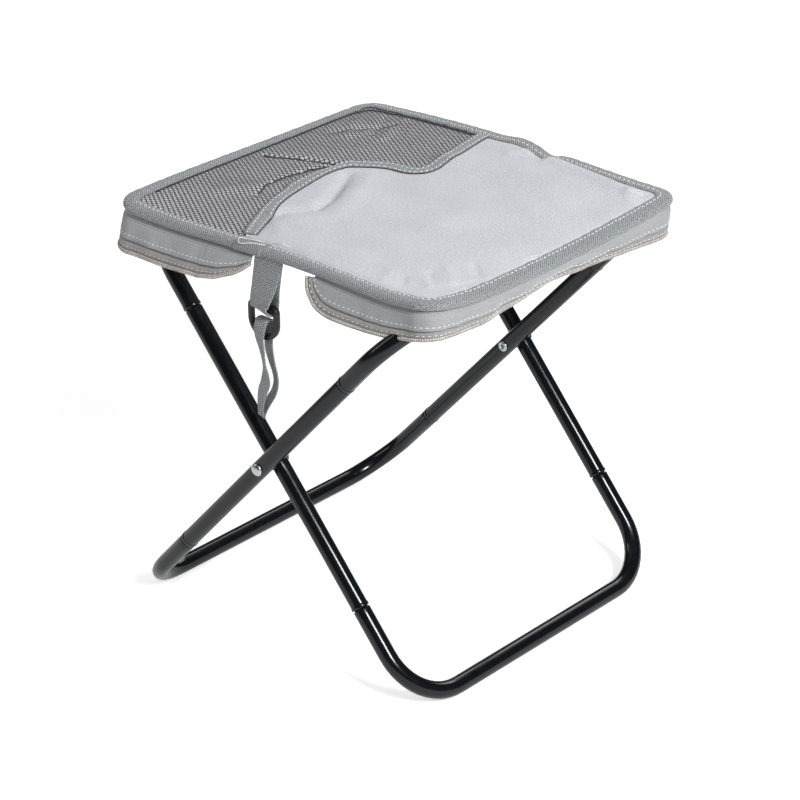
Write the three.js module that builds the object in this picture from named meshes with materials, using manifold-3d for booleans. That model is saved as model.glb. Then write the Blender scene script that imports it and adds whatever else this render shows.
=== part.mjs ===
// Folding stool with a zipped pouch for a seat, built as separate pieces.
// Millimetres, +Z up. X runs along the spread of the legs, Y along the pivot rivets,
// and the near side of the stool is the -Y side.

import * as THREE from 'three';
import { mergeVertices } from 'three/addons/utils/BufferGeometryUtils.js';
import Module from 'manifold-3d';

const wasm = await Module();
wasm.setup();

const degree = Math.PI / 180;

// Clearance between pieces that touch
const fit = 0.3;

// Tube frames
const tubeDiameter = 12.7;
const tubeWall = 1;
const tubeSides = 12;
const frameWidth = 260;
const spacerThickness = 0.8;
const pivotHeight = 155;
const openAngle = 41.45 * degree;
const upperReach = 190.7;
const upperJointShare = 0.6371;
const lowerJointReach = 118.5;
const cornerRadius = 42;
const cornerSteps = 5;
const jointLine = 0.5;
const neckLength = 26;
const neckWall = 1;
const neckTaper = 1.5;
const neckRoot = 2;
const beadLength = 2.2;
const beadRise = 0.35;
const beadTaper = 0.5;

// Rivets and the spacers between the crossed tubes
const rivetDiameter = 5;
const rivetHeadDiameter = 9.5;
const rivetHeadHeight = 2.4;
const rivetRimDiameter = 8;
const rivetRimHeight = 1.4;
const rivetBore = 3;
const rivetBoreDepth = 7;
const rivetSides = 12;
const spacerDiameter = 11;

// Fabric sleeves on the top bars
const sleeveThickness = 1.2;
const sleeveEndGap = 4;

// Seat outline and layers
const barMargin = 24.763;
const sideMargin = 0.5;
const seatCornerRadius = 18;
const drawIn = 4;
const spineShare = 0.21192;
const liningThickness = 0.8;
const padEdgeThickness = 1.2;
const coverThickness = 1;
const crownHeight = 5;
const bindingWidth = 12;
const bindingThickness = 1;
const foldGap = 1.5;

// Pocket, net and the tape along the pocket's edge
const overlayGap = 0.4;
const overlayThickness = 0.9;
const netThickness = 0.6;
const netPitchShare = 0.1126;
const netStrandShare = 0.14;
const netTurn = 8 * degree;
const edgeTapeWidth = 8;
const edgeTapeThickness = 0.8;

// Side walls and zip
const wallThickness = 1;
const wallClothShare = 0.098;
const wallSpread = 10.5;
const tapeHeight = 5.3;
const tapeThickness = 0.8;
const chainHeight = 2.3;
const chainThickness = 2.2;
const wallStart = 2;
const wallEndRound = 32;

// Zip slider and its puller
const sliderLength = 11;
const sliderPlate = 1.2;
const sliderOuterPlate = 2.3;
const sliderRise = 3.4;
const sliderSetback = 2;
const hookWidth = 3;
const hookReach = 3.4;
const hookWall = 1;
const hookDrop = 2.2;
const pullerWidth = 6;
const pullerLength = 20;
const pullerThickness = 1.2;
const pullerWindow = 4.5;

// Strap with its ring
const strapOffset = -2.5;
const strapSlant = 10.7 * degree;
const tabDrop = 1.2;
const tabWidth = 19;
const tabLength = 31.8;
const webbingThickness = 1.4;
const ringWire = 4.4;
const ringHeight = 27.2;
const ringBevel = 0.9;
const loopWidth = 10;
const loopShare = 0.48;
const loopTurn = 12 * degree;
const loopBoreRise = 4.2;
const loopPinch = 2.6;
const loopBulge = 4.2;
const loopPinchShare = 0.24;
const loopBulgeShare = 0.6;
const loopCloseShare = 0.88;
const arcSteps = 8;

// Sizes that follow from the ones above
const upperJointReach = upperReach * upperJointShare;
const tubeRadius = tubeDiameter / 2;
const tubeBore = tubeRadius - tubeWall;
const neckRadius = tubeBore - fit;
const legPitch = tubeDiameter + spacerThickness + 2 * fit;
const frameShift = legPitch / 2;
const halfFrame = frameWidth / 2;
const lowerReach = (pivotHeight - tubeRadius * Math.cos(Math.PI / tubeSides)) / Math.cos(openAngle);
const barHeight = pivotHeight + upperReach * Math.cos(openAngle);
const sleeveBore = tubeRadius + fit;
const sleeveRadius = sleeveBore + sleeveThickness;
const hingeHeight = barHeight + sleeveRadius + fit;
const halfLength = upperReach * Math.sin(openAngle) + barMargin;
const halfWidth = halfFrame + sideMargin;
const halfSpine = halfLength * spineShare;
const netPitch = halfLength * netPitchShare;
const netStrand = netPitch * netStrandShare;
const wallCloth = (barHeight - pivotHeight) * wallClothShare;
const loopLength = (barHeight - pivotHeight) * loopShare;
const cornerX = halfLength - seatCornerRadius;
const cornerY = halfWidth - seatCornerRadius;
const liningTop = hingeHeight + liningThickness;
const padBottom = liningTop + fit;
const padTop = padBottom + padEdgeThickness;
const coverBottom = padTop + fit;
const coverTop = coverBottom + coverThickness;
const bindingTop = coverTop + fit + bindingThickness;
const bindingBottom = hingeHeight - fit - bindingThickness;
const layerInset = bindingThickness + fit;
const crownInset = bindingWidth + fit;
const overlayBottom = coverTop + overlayGap;
const overlayTop = overlayBottom + overlayThickness;
const wallTop = bindingBottom - fit;
const wallInset = bindingThickness + wallThickness / 2;
const tapeStart = wallCloth + fit;
const tapeEnd = tapeStart + tapeHeight;
const wallDepth = tapeEnd + chainHeight;

// Colours, roughness and metalness
function finish(color, roughness, metalness = 0) {
  return { color, roughness, metalness };
}

const blackPaint = finish(0x17181b, 0.25, 0.1);
const zincPlate = finish(0xc5cfd0, 0.3, 0.9);
const blackPlastic = finish(0x1c1c1e, 0.45);
const lightCloth = finish(0xbdbdc2, 0.85);
const baseCloth = finish(0x8b8b90, 0.9);
const netCloth = finish(0x55565a, 0.9);
const tapeCloth = finish(0x8b9091, 0.85);
const wallClothFinish = finish(0xa9a8a6, 0.88);
const zipCloth = finish(0xc4c0bb, 0.8);
const liningCloth = finish(0x9a9a9c, 0.9);
const foam = finish(0xe4e2da, 0.95);
const webbing = finish(0x86898a, 0.85);

const stool = new THREE.Group();

function add(parent, name, geometry, look) {
  const mesh = new THREE.Mesh(geometry, new THREE.MeshStandardMaterial(look));
  mesh.name = name;
  parent.add(mesh);
  return mesh;
}

// Closed meshes

function plain(geometry) {
  const copy = geometry.index ? geometry.toNonIndexed() : geometry.clone();
  copy.deleteAttribute('normal');
  copy.deleteAttribute('uv');
  return mergeVertices(copy, fit / 1000);
}

function signedVolume(points, index) {
  const a = new THREE.Vector3();
  const b = new THREE.Vector3();
  const c = new THREE.Vector3();
  let total = 0;
  for (let i = 0; i < index.length; i += 3) {
    a.fromArray(points, 3 * index[i]);
    b.fromArray(points, 3 * index[i + 1]);
    c.fromArray(points, 3 * index[i + 2]);
    total += a.dot(b.cross(c));
  }
  return total;
}

// A closed mesh from points and triangles, turned so that its faces look outwards
function closed(points, index) {
  const flat = points.flat();
  const turned = index.slice();
  if (signedVolume(flat, index) < 0) {
    for (let i = 0; i < turned.length; i += 3) {
      [turned[i + 1], turned[i + 2]] = [turned[i + 2], turned[i + 1]];
    }
  }
  const geometry = new THREE.BufferGeometry();
  geometry.setAttribute('position', new THREE.Float32BufferAttribute(flat, 3));
  geometry.setIndex(turned);
  return geometry;
}

function toSolid(geometry) {
  const clean = plain(geometry);
  return new wasm.Manifold(new wasm.Mesh({
    numProp: 3,
    vertProperties: new Float32Array(clean.attributes.position.array),
    triVerts: new Uint32Array(clean.index.array),
  }));
}

function fromSolid(solid) {
  const mesh = solid.getMesh();
  const geometry = new THREE.BufferGeometry();
  geometry.setAttribute('position', new THREE.BufferAttribute(mesh.vertProperties, 3));
  geometry.setIndex(new THREE.BufferAttribute(mesh.triVerts, 1));
  return geometry;
}

function joined(...geometries) {
  return fromSolid(geometries.map(toSolid).reduce((whole, piece) => whole.add(piece)));
}

function cut(body, ...tools) {
  return fromSolid(tools.map(toSolid).reduce((whole, tool) => whole.subtract(tool), toSolid(body)));
}

// A layer with a grid of points on its lower and on its upper side
function slab(columns, rows, lower, upper) {
  const points = [];
  const index = [];
  const rowCount = rows.length;
  const sideCount = columns.length * rowCount;
  for (const side of [lower, upper]) {
    for (const column of columns) {
      for (const row of rows) {
        points.push(side(column, row));
      }
    }
  }
  const at = (i, j, side) => side * sideCount + i * rowCount + j;
  const face = (a, b, c, d) => index.push(a, b, c, a, c, d);
  const lastColumn = columns.length - 1;
  const lastRow = rowCount - 1;
  for (let i = 0; i < lastColumn; i += 1) {
    for (let j = 0; j < lastRow; j += 1) {
      face(at(i, j, 1), at(i + 1, j, 1), at(i + 1, j + 1, 1), at(i, j + 1, 1));
      face(at(i, j, 0), at(i, j + 1, 0), at(i + 1, j + 1, 0), at(i + 1, j, 0));
    }
    face(at(i, 0, 0), at(i + 1, 0, 0), at(i + 1, 0, 1), at(i, 0, 1));
    face(at(i + 1, lastRow, 0), at(i, lastRow, 0), at(i, lastRow, 1), at(i + 1, lastRow, 1));
  }
  for (let j = 0; j < lastRow; j += 1) {
    face(at(0, j + 1, 0), at(0, j, 0), at(0, j, 1), at(0, j + 1, 1));
    face(at(lastColumn, j, 0), at(lastColumn, j + 1, 0), at(lastColumn, j + 1, 1), at(lastColumn, j, 1));
  }
  return closed(points, index);
}

// A section of [outwards, height] points carried along the stations of an edge
function moulding(stations, section) {
  const count = section.length;
  const points = [];
  const index = [];
  for (const station of stations) {
    for (const [out, height] of section) {
      points.push([station.x + station.nx * out, station.y + station.ny * out, height]);
    }
  }
  for (let i = 0; i < stations.length - 1; i += 1) {
    for (let j = 0; j < count; j += 1) {
      const next = (j + 1) % count;
      const a = i * count + j;
      const b = i * count + next;
      const c = (i + 1) * count + next;
      const d = (i + 1) * count + j;
      index.push(a, b, c, a, c, d);
    }
  }
  const outline = section.map(([out, height]) => new THREE.Vector2(out, height));
  const last = (stations.length - 1) * count;
  for (const [a, b, c] of THREE.ShapeUtils.triangulateShape(outline, [])) {
    const sameWay = THREE.ShapeUtils.isClockWise(outline) ? [a, b, c] : [a, c, b];
    index.push(...sameWay.toReversed());
    index.push(...sameWay.map((corner) => last + corner));
  }
  const geometry = closed(points, index);
  return closedBothEnds(geometry);
}

// The end faces are turned until every edge is shared by two opposite triangles
function closedBothEnds(geometry) {
  const index = Array.from(geometry.index.array);
  const directed = new Set();
  const good = [];
  const waiting = [];
  for (let i = 0; i < index.length; i += 3) {
    waiting.push([index[i], index[i + 1], index[i + 2]]);
  }
  const edgesOf = ([a, b, c]) => [[a, b], [b, c], [c, a]];
  const key = (a, b) => `${a}_${b}`;
  const take = (triangle) => {
    good.push(triangle);
    edgesOf(triangle).forEach(([a, b]) => directed.add(key(a, b)));
  };
  take(waiting.shift());
  while (waiting.length > 0) {
    const place = waiting.findIndex((triangle) => edgesOf(triangle).some(
      ([a, b]) => directed.has(key(b, a)) || directed.has(key(a, b)),
    ));
    const [triangle] = waiting.splice(place, 1);
    const clash = edgesOf(triangle).some(([a, b]) => directed.has(key(a, b)));
    take(clash ? triangle.toReversed() : triangle);
  }
  const points = Array.from(geometry.attributes.position.array);
  const rows = [];
  for (let i = 0; i < points.length; i += 3) {
    rows.push([points[i], points[i + 1], points[i + 2]]);
  }
  return closed(rows, good.flat());
}

// A shape with its outline anticlockwise, so that holes can run either way
function outlined(points, ...holes) {
  const shape = new THREE.Shape(THREE.ShapeUtils.isClockWise(points) ? points.toReversed() : points);
  holes.forEach((hole) => shape.holes.push(new THREE.Path(hole)));
  return shape;
}

function ringProfile(points, sides) {
  const outline = points.map(([radius, height]) => new THREE.Vector2(radius, height));
  return plain(new THREE.LatheGeometry(outline, sides));
}

function evenly(from, to, steps) {
  return Array.from({ length: steps + 1 }, (unused, i) => from + ((to - from) * i) / steps);
}

// Tube frames

// A U of tube: down one leg, across the bar and up the other leg, with stations only where it bends
class FramePath extends THREE.Curve {
  constructor(mouth, reach) {
    super();
    const toward = Math.sign(reach - mouth);
    const bendStart = reach - toward * cornerRadius;
    const inner = halfFrame - cornerRadius;
    const down = new THREE.Vector3(0, 0, toward);
    const across = new THREE.Vector3(0, 1, 0);
    this.places = [new THREE.Vector3(0, -halfFrame, mouth)];
    this.ways = [down.clone()];
    for (const [side, angles] of [[-1, evenly(0, Math.PI / 2, cornerSteps)],
      [1, evenly(Math.PI / 2, Math.PI, cornerSteps)]]) {
      for (const angle of angles) {
        this.places.push(new THREE.Vector3(
          0,
          side * inner - Math.cos(angle) * cornerRadius,
          bendStart + toward * Math.sin(angle) * cornerRadius,
        ));
        this.ways.push(new THREE.Vector3()
          .addScaledVector(down, Math.cos(angle))
          .addScaledVector(across, Math.sin(angle)));
      }
    }
    this.places.push(new THREE.Vector3(0, halfFrame, mouth));
    this.ways.push(down.clone().negate());
  }

  get steps() {
    return this.places.length - 1;
  }

  getPoint(share) {
    return this.places[Math.round(share * this.steps)].clone();
  }

  getPointAt(share) {
    return this.getPoint(share);
  }

  getTangentAt(share) {
    return this.ways[Math.round(share * this.steps)].clone();
  }
}

function circlePoints(radius, sides, turn) {
  return evenly(0, 2 * Math.PI, sides).slice(0, -1).map((angle) => new THREE.Vector2(
    radius * Math.cos(angle + turn),
    radius * Math.sin(angle + turn),
  ));
}

function tubeFrame(mouth, reach, turn) {
  const path = new FramePath(mouth, reach);
  const section = outlined(
    circlePoints(tubeRadius, tubeSides, turn),
    circlePoints(tubeBore, tubeSides, turn),
  );
  return new THREE.ExtrudeGeometry(section, { steps: path.steps, extrudePath: path });
}

// The thinner end that plugs into the next tube, drawn from z = 0 upwards
function neckPoints() {
  return [
    [neckRadius - neckWall, -neckRoot],
    [tubeBore + tubeWall / 2, -neckRoot],
    [tubeBore + tubeWall / 2, 0],
    [neckRadius, 0],
    [neckRadius, neckLength - neckTaper],
    [neckRadius - neckWall / 2, neckLength],
    [neckRadius - neckWall, neckLength],
    [neckRadius - neckWall, -neckRoot],
  ];
}

// The rolled bead round a tube's mouth, drawn from z = 0 upwards
function beadPoints() {
  const middle = tubeBore + tubeWall / 2;
  return [
    [middle, 0],
    [tubeRadius + beadRise, 0],
    [tubeRadius + beadRise, beadLength],
    [tubeRadius, beadLength + beadTaper],
    [middle, beadLength + beadTaper],
    [middle, 0],
  ];
}

function footFrame(turn) {
  const mouth = -lowerJointReach - jointLine;
  const parts = [tubeFrame(mouth, -lowerReach, turn)];
  for (const side of [-1, 1]) {
    parts.push(ringProfile(neckPoints(), tubeSides)
      .rotateX(Math.PI / 2)
      .translate(0, side * halfFrame, mouth));
  }
  return joined(...parts);
}

function upperFrame(turn) {
  const parts = [tubeFrame(upperJointReach, upperReach, turn)];
  for (const side of [-1, 1]) {
    parts.push(ringProfile(beadPoints(), tubeSides)
      .rotateX(Math.PI / 2)
      .translate(0, side * halfFrame, upperJointReach));
  }
  return joined(...parts);
}

// A straight tube with a beaded mouth at its foot, a neck at its top and a hole for the rivet
function middleTube(y) {
  const bottom = -lowerJointReach;
  const top = upperJointReach - jointLine;
  const tube = ringProfile([
    [tubeBore, bottom],
    [tubeRadius + beadRise, bottom],
    [tubeRadius + beadRise, bottom + beadLength],
    [tubeRadius, bottom + beadLength + beadTaper],
    [tubeRadius, top],
    [neckRadius, top],
    [neckRadius, top + neckLength - neckTaper],
    [neckRadius - neckWall / 2, top + neckLength],
    [neckRadius - neckWall, top + neckLength],
    [neckRadius - neckWall, top],
    [tubeBore, top - neckRoot],
    [tubeBore, bottom],
  ], tubeSides).rotateX(Math.PI / 2);
  const bore = rivetDiameter / 2 + fit;
  const hole = new THREE.CylinderGeometry(bore, bore, legPitch, rivetSides);
  return cut(tube, hole).translate(0, y, 0);
}

function barSleeve() {
  const halfSleeve = halfFrame - cornerRadius - sleeveEndGap;
  return ringProfile([
    [sleeveBore, -halfSleeve],
    [sleeveRadius, -halfSleeve],
    [sleeveRadius, halfSleeve],
    [sleeveBore, halfSleeve],
    [sleeveBore, -halfSleeve],
  ], tubeSides);
}

// A rivet with a domed head and a hollow, rolled tail, drawn along +Y from the tail to the head
function rivet() {
  const headFace = legPitch / 2 + tubeRadius + fit;
  const tailFace = -headFace;
  const tail = tailFace - rivetRimHeight;
  const dome = evenly(0, Math.PI / 2, arcSteps / 2).map((angle) => [
    (rivetHeadDiameter / 2) * Math.cos(angle),
    headFace + rivetHeadHeight * Math.sin(angle),
  ]);
  dome[dome.length - 1][0] = 0;
  return ringProfile([
    [0, tail + rivetBoreDepth],
    [rivetBore / 2, tail + rivetBoreDepth],
    [rivetBore / 2, tail],
    [rivetRimDiameter / 2, tail],
    [rivetRimDiameter / 2, tailFace],
    [rivetDiameter / 2, tailFace],
    [rivetDiameter / 2, headFace],
    ...dome,
  ], rivetSides);
}

function spacer() {
  const bore = rivetDiameter / 2 + fit;
  return ringProfile([
    [bore, -spacerThickness / 2],
    [spacerDiameter / 2, -spacerThickness / 2],
    [spacerDiameter / 2, spacerThickness / 2],
    [bore, spacerThickness / 2],
    [bore, -spacerThickness / 2],
  ], rivetSides);
}

for (const [letter, lean, barSleeveName] of [['a', 1, 'bar_sleeve_right'], ['b', -1, 'bar_sleeve_left']]) {
  const frame = new THREE.Group();
  frame.position.set(0, -lean * frameShift, pivotHeight);
  frame.rotation.y = lean * openAngle;
  stool.add(frame);
  const turn = Math.PI / tubeSides - lean * openAngle;
  add(frame, `upper_frame_${letter}`, upperFrame(turn), blackPaint);
  add(frame, `middle_tube_${letter}_front`, middleTube(-halfFrame), blackPaint);
  add(frame, `middle_tube_${letter}_rear`, middleTube(halfFrame), blackPaint);
  add(frame, `foot_frame_${letter}`, footFrame(turn), blackPaint);
  add(frame, barSleeveName, barSleeve(), baseCloth).position.z = upperReach;
}

for (const [place, side] of [['front', -1], ['rear', 1]]) {
  const pin = add(stool, `rivet_${place}`, rivet(), zincPlate);
  pin.position.set(0, side * halfFrame, pivotHeight);
  pin.rotation.z = side < 0 ? Math.PI : 0;
  add(stool, `spacer_${place}`, spacer(), blackPlastic).position.set(0, side * halfFrame, pivotHeight);
}

// Seat outline

// Half the seat's width at x, drawn in between the corners and round at them
function edgeY(x) {
  const along = Math.abs(x);
  if (along > cornerX) {
    const past = Math.min(along - cornerX, seatCornerRadius);
    return cornerY + Math.sqrt(seatCornerRadius ** 2 - past ** 2);
  }
  return halfWidth - drawIn * (1 - (along / cornerX) ** 2);
}

// The same outline moved inwards
function innerEdgeY(x, inset) {
  const along = Math.abs(x);
  if (along > cornerX) {
    const radius = seatCornerRadius - inset;
    const past = Math.min(along - cornerX, radius);
    return cornerY + Math.sqrt(Math.max(radius ** 2 - past ** 2, 0));
  }
  return edgeY(x) - inset;
}

// Places along x for half of the seat, closer together round the corner
function halfColumns(inset, steps) {
  const straight = evenly(halfSpine + fit, cornerX, steps);
  const radius = seatCornerRadius - inset;
  const bend = evenly(0, Math.PI / 2, cornerSteps).slice(1)
    .map((angle) => cornerX + radius * Math.sin(angle));
  const columns = [...straight, ...bend];
  if (inset < crownInset) {
    columns.push(halfLength - crownInset);
  }
  return columns.sort((one, other) => one - other);
}

// The rise of the padded top: a low dome that starts at the binding's inner edge
function crown(x, y) {
  const alongShare = x / (halfLength - crownInset);
  const acrossShare = y / innerEdgeY(x, crownInset);
  return crownHeight * Math.max(1 - alongShare ** 2, 0) * Math.max(1 - acrossShare ** 2, 0);
}

// One layer of a seat half (side = 1 right, -1 left) or, with side = 0, of the spine.
// Its rows run from edge to edge, with one where the crown begins.
function seatLayer(side, inset, bottom, top, columnSteps = 6, rowSteps = 8) {
  const columns = side === 0
    ? evenly(-halfSpine + fit, halfSpine - fit, columnSteps / 2)
    : halfColumns(inset, columnSteps).map((x) => side * x);
  const level = (height) => (typeof height === 'function' ? height : () => height);
  const crowned = evenly(-1, 1, rowSteps).map((share) => (x) => share * innerEdgeY(x, crownInset));
  const rows = inset < crownInset
    ? [(x) => -innerEdgeY(x, inset), ...crowned, (x) => innerEdgeY(x, inset)]
    : crowned;
  const place = (height) => (x, row) => [x, row(x), height(x, row(x))];
  return slab(columns, rows, place(level(bottom)), place(level(top)));
}

const raised = (height) => (x, y) => height + crown(x, y);

// The edge of the pocket on the top, from the front to the rear, as shares of half the length and width
const pocketEdgeShares = [
  [-0.24, -1], [-0.38, -0.58], [-0.44, -0.22], [-0.42, 0.1], [-0.26, 0.265],
  [-0.1, 0.31], [-0.075, 0.45], [-0.12, 0.72], [-0.16, 1],
];
const openWidth = halfWidth - bindingWidth - fit;
const pocketCurve = new THREE.SplineCurve(pocketEdgeShares.map(
  ([alongShare, acrossShare]) => new THREE.Vector2(alongShare * halfLength, acrossShare * openWidth),
));
const pocketPoints = pocketCurve.getPoints(72);

// Where the pocket's edge lies at y
function pocketX(y) {
  const next = pocketPoints.findIndex((point) => point.y >= y);
  if (next <= 0) {
    return pocketPoints.at(next === 0 ? 0 : -1).x;
  }
  const before = pocketPoints[next - 1];
  const after = pocketPoints[next];
  const part = (y - before.y) / Math.max(after.y - before.y, fit / 1000);
  return before.x + (after.x - before.x) * part;
}

// Binding

function edgeStations(firstX) {
  const front = [...evenly(firstX, cornerX, 6)].map((x) => ({ x, y: -edgeY(x), nx: 0, ny: -1 }));
  const bend = evenly(0, Math.PI / 2, cornerSteps).slice(1).map((angle) => ({
    x: cornerX + seatCornerRadius * Math.sin(angle),
    y: -cornerY - seatCornerRadius * Math.cos(angle),
    nx: Math.sin(angle),
    ny: -Math.cos(angle),
  }));
  const half = [...front, ...bend];
  const mirrored = half.toReversed().map(({ x, y, nx, ny }) => ({ x, y: -y, nx, ny: -ny }));
  return [...half, ...mirrored];
}

const bindingSection = [
  [-bindingWidth, bindingTop],
  [0, bindingTop],
  [0, bindingBottom],
  [-bindingWidth, bindingBottom],
  [-bindingWidth, bindingBottom + bindingThickness],
  [-bindingThickness, bindingBottom + bindingThickness],
  [-bindingThickness, bindingTop - bindingThickness],
  [-bindingWidth, bindingTop - bindingThickness],
];

function halfBinding(side) {
  const stations = edgeStations(halfSpine + foldGap)
    .map(({ x, y, nx, ny }) => ({ x: side * x, y, nx: side * nx, ny }));
  return moulding(stations, bindingSection);
}

function spineBinding(side) {
  const end = halfSpine - foldGap;
  const stations = evenly(-end, end, 4).map((x) => ({ x, y: side * edgeY(x), nx: 0, ny: side }));
  return moulding(stations, bindingSection);
}

// Net

const netCentre = new THREE.Vector2();

// A flat net with square gaps standing on their corners, laid on the crown
function net(outline, inside) {
  const holes = [];
  const rowPitch = netPitch / 2;
  const gapRadius = netPitch / 2 - netStrand / Math.SQRT2;
  const rowCount = Math.floor(halfWidth / rowPitch);
  const columnCount = Math.floor(halfLength / netPitch);
  for (let row = -rowCount; row <= rowCount; row += 1) {
    const shift = row % 2 === 0 ? 0 : netPitch / 2;
    for (let column = 0; column <= columnCount; column += 1) {
      const middle = new THREE.Vector2(-column * netPitch - shift, row * rowPitch);
      middle.rotateAround(netCentre, netTurn);
      if (inside(middle.x, middle.y, gapRadius + netStrand / 2)) {
        holes.push(circlePoints(gapRadius, 4, netTurn).map((corner) => corner.add(middle)));
      }
    }
  }
  const flat = (points) => points.map(({ x, y }) => [x, y]);
  const sheet = new wasm.CrossSection([outline, ...holes].map(flat), 'EvenOdd');
  const geometry = fromSolid(sheet.extrude(netThickness));
  const position = geometry.attributes.position;
  for (let i = 0; i < position.count; i += 1) {
    position.setZ(i, overlayBottom + position.getZ(i) + crown(position.getX(i), position.getY(i)));
  }
  return geometry;
}

// Walls and zip

// Places along a wall: its plan position, the way outwards and how far it spreads in y
function frontStations() {
  const startX = halfSpine + wallStart + wallEndRound;
  return evenly(startX, cornerX - fit, 5).map((x) => ({
    x, y: -(edgeY(x) - wallInset), nx: 0, ny: -1, spread: 1, full: -(halfWidth - wallInset),
  }));
}

function cornerStations() {
  const radius = seatCornerRadius - wallInset;
  return evenly(0, Math.PI / 2, cornerSteps).map((angle) => {
    const y = -cornerY - radius * Math.cos(angle);
    const x = cornerX + radius * Math.sin(angle);
    return { x, y, nx: Math.sin(angle), ny: -Math.cos(angle), spread: Math.cos(angle), full: y };
  });
}

function endStations() {
  const x = halfLength - wallInset;
  return evenly(-cornerY + fit, cornerY - fit, 6).map((y) => ({ x, y, nx: 1, ny: 0, spread: 0, full: y }));
}

function onWall(station, depth, out) {
  const part = depth / wallDepth;
  const straightY = station.y + (station.full - station.y) * part;
  return [
    station.x + station.nx * out,
    straightY - wallSpread * station.spread * part + station.ny * out,
    wallTop - depth,
  ];
}

// A layer along a wall, whose rows are pairs of a depth and the thickness there
function strip(stations, rows, mirror, place = onWall) {
  const [sx, sy] = mirror;
  const side = (way) => (station, [depth, thickness]) => {
    const [x, y, z] = place(station, depth, (way * thickness) / 2);
    return [sx * x, sy * y, z];
  };
  return slab(stations, rows, side(-1), side(1));
}

// Stations round the end of a wall next to the spine, for a strip whose lower edge lies at a depth
function roundedStations(angles) {
  const [start] = frontStations();
  return angles.map((angle) => ({ ...start, angle }));
}

// A place on the rounded end: the depth turns from the spine's side down to the mouth
function onRoundedWall(station, depth, out) {
  if (station.angle === undefined) {
    return onWall(station, depth, out);
  }
  const reach = wallEndRound - (wallDepth - depth);
  const x = station.x - reach * Math.cos(station.angle);
  const moved = { ...station, x, y: -(edgeY(x) - wallInset) };
  return onWall(moved, depth * Math.sin(station.angle), out);
}

const clothRows = [[0, wallThickness], [wallCloth / 2, wallThickness], [wallCloth, wallThickness]];
const zipRows = [
  [tapeStart, tapeThickness],
  [tapeEnd, tapeThickness],
  [tapeEnd, chainThickness],
  [wallDepth, chainThickness],
];

// A front or rear wall's cloth, whose lower edge curves up next to the spine
function sideCloth(mirror) {
  const reach = wallEndRound - (wallDepth - wallCloth);
  const curved = roundedStations(evenly(Math.PI / 12, Math.PI / 2, cornerSteps)).map((station) => {
    const x = station.x - reach * Math.cos(station.angle);
    return { ...station, x, y: -(edgeY(x) - wallInset), share: Math.sin(station.angle) };
  });
  const straight = frontStations().slice(1).map((station) => ({ ...station, share: 1 }));
  return strip([...curved, ...straight], clothRows, mirror, (station, depth, out) => (
    onWall(station, depth * station.share, out)
  ));
}

// The zip's tape and teeth along a front or rear wall
function sideZip(mirror) {
  const curved = roundedStations(evenly(0, Math.PI / 2, cornerSteps));
  return strip([...curved, ...frontStations().slice(1)], zipRows, mirror, onRoundedWall);
}

// Seat halves

for (const [name, side] of [['right', 1], ['left', -1]]) {
  add(stool, `lining_${name}`, seatLayer(side, layerInset, hingeHeight, liningTop, 4, 1), liningCloth);
  add(stool, `pad_${name}`, seatLayer(side, layerInset, padBottom, raised(padTop), 4, 6), foam);
  add(stool, `cover_${name}`, seatLayer(side, layerInset, raised(coverBottom), raised(coverTop)), baseCloth);
  add(stool, `binding_${name}`, halfBinding(side), tapeCloth);
  add(stool, `end_wall_${name}`, strip(endStations(), clothRows, [side, 1]), wallClothFinish);
  add(stool, `zip_end_${name}`, strip(endStations(), zipRows, [side, 1]), zipCloth);
  for (const [place, sy] of [['front', 1], ['rear', -1]]) {
    const mirror = [side, sy];
    add(stool, `${place}_wall_${name}`, sideCloth(mirror), wallClothFinish);
    add(stool, `zip_${place}_${name}`, sideZip(mirror), zipCloth);
    add(stool, `corner_wall_${name}_${place}`, strip(cornerStations(), clothRows, mirror), wallClothFinish);
    add(stool, `zip_corner_${name}_${place}`, strip(cornerStations(), zipRows, mirror), zipCloth);
  }
}

// Spine between the halves

add(stool, 'lining_spine', seatLayer(0, layerInset, hingeHeight, liningTop, 4, 1), liningCloth);
add(stool, 'pad_spine', seatLayer(0, layerInset, padBottom, raised(padTop), 4, 6), foam);
add(stool, 'cover_spine', seatLayer(0, layerInset, raised(coverBottom), raised(coverTop)), baseCloth);
add(stool, 'binding_spine_front', spineBinding(-1), tapeCloth);
add(stool, 'binding_spine_rear', spineBinding(1), tapeCloth);

// Pocket panel, net and the tape between them

add(stool, 'pocket_panel_right', seatLayer(
  1, crownInset, raised(overlayBottom), raised(overlayTop),
), lightCloth);

// A piece of the pocket panel between two x limits that change with y
function pocketPiece(fromX, toX, rows, bottom, top) {
  const place = (height) => (y, share) => {
    const x = fromX(y) + (toX(y) - fromX(y)) * share;
    return [x, y, height + crown(x, y)];
  };
  return slab(rows, evenly(0, 1, 4), place(bottom), place(top));
}

const frontLimit = -innerEdgeY(0, crownInset);
const rearLimit = innerEdgeY(0, crownInset);
const leftFold = -halfSpine - fit;
const spineLeft = -halfSpine + fit;
const spineRight = halfSpine - fit;
const minWidth = fit * 3;
const netGap = fit * 2;

// Where the pocket's edge crosses the fold, found by stepping along y
const crossing = evenly(frontLimit, rearLimit, 400).find((y) => pocketX(y) > -halfSpine - minWidth);

const leftRows = evenly(frontLimit, crossing - minWidth, 18);
const spineRows = evenly(frontLimit, rearLimit, 24);

add(stool, 'pocket_panel_left', pocketPiece(
  pocketX, () => leftFold, leftRows, overlayBottom, overlayTop,
), lightCloth);
add(stool, 'pocket_panel_spine', pocketPiece(
  (y) => Math.max(pocketX(y), spineLeft), () => spineRight, spineRows, overlayBottom, overlayTop,
), lightCloth);

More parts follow.
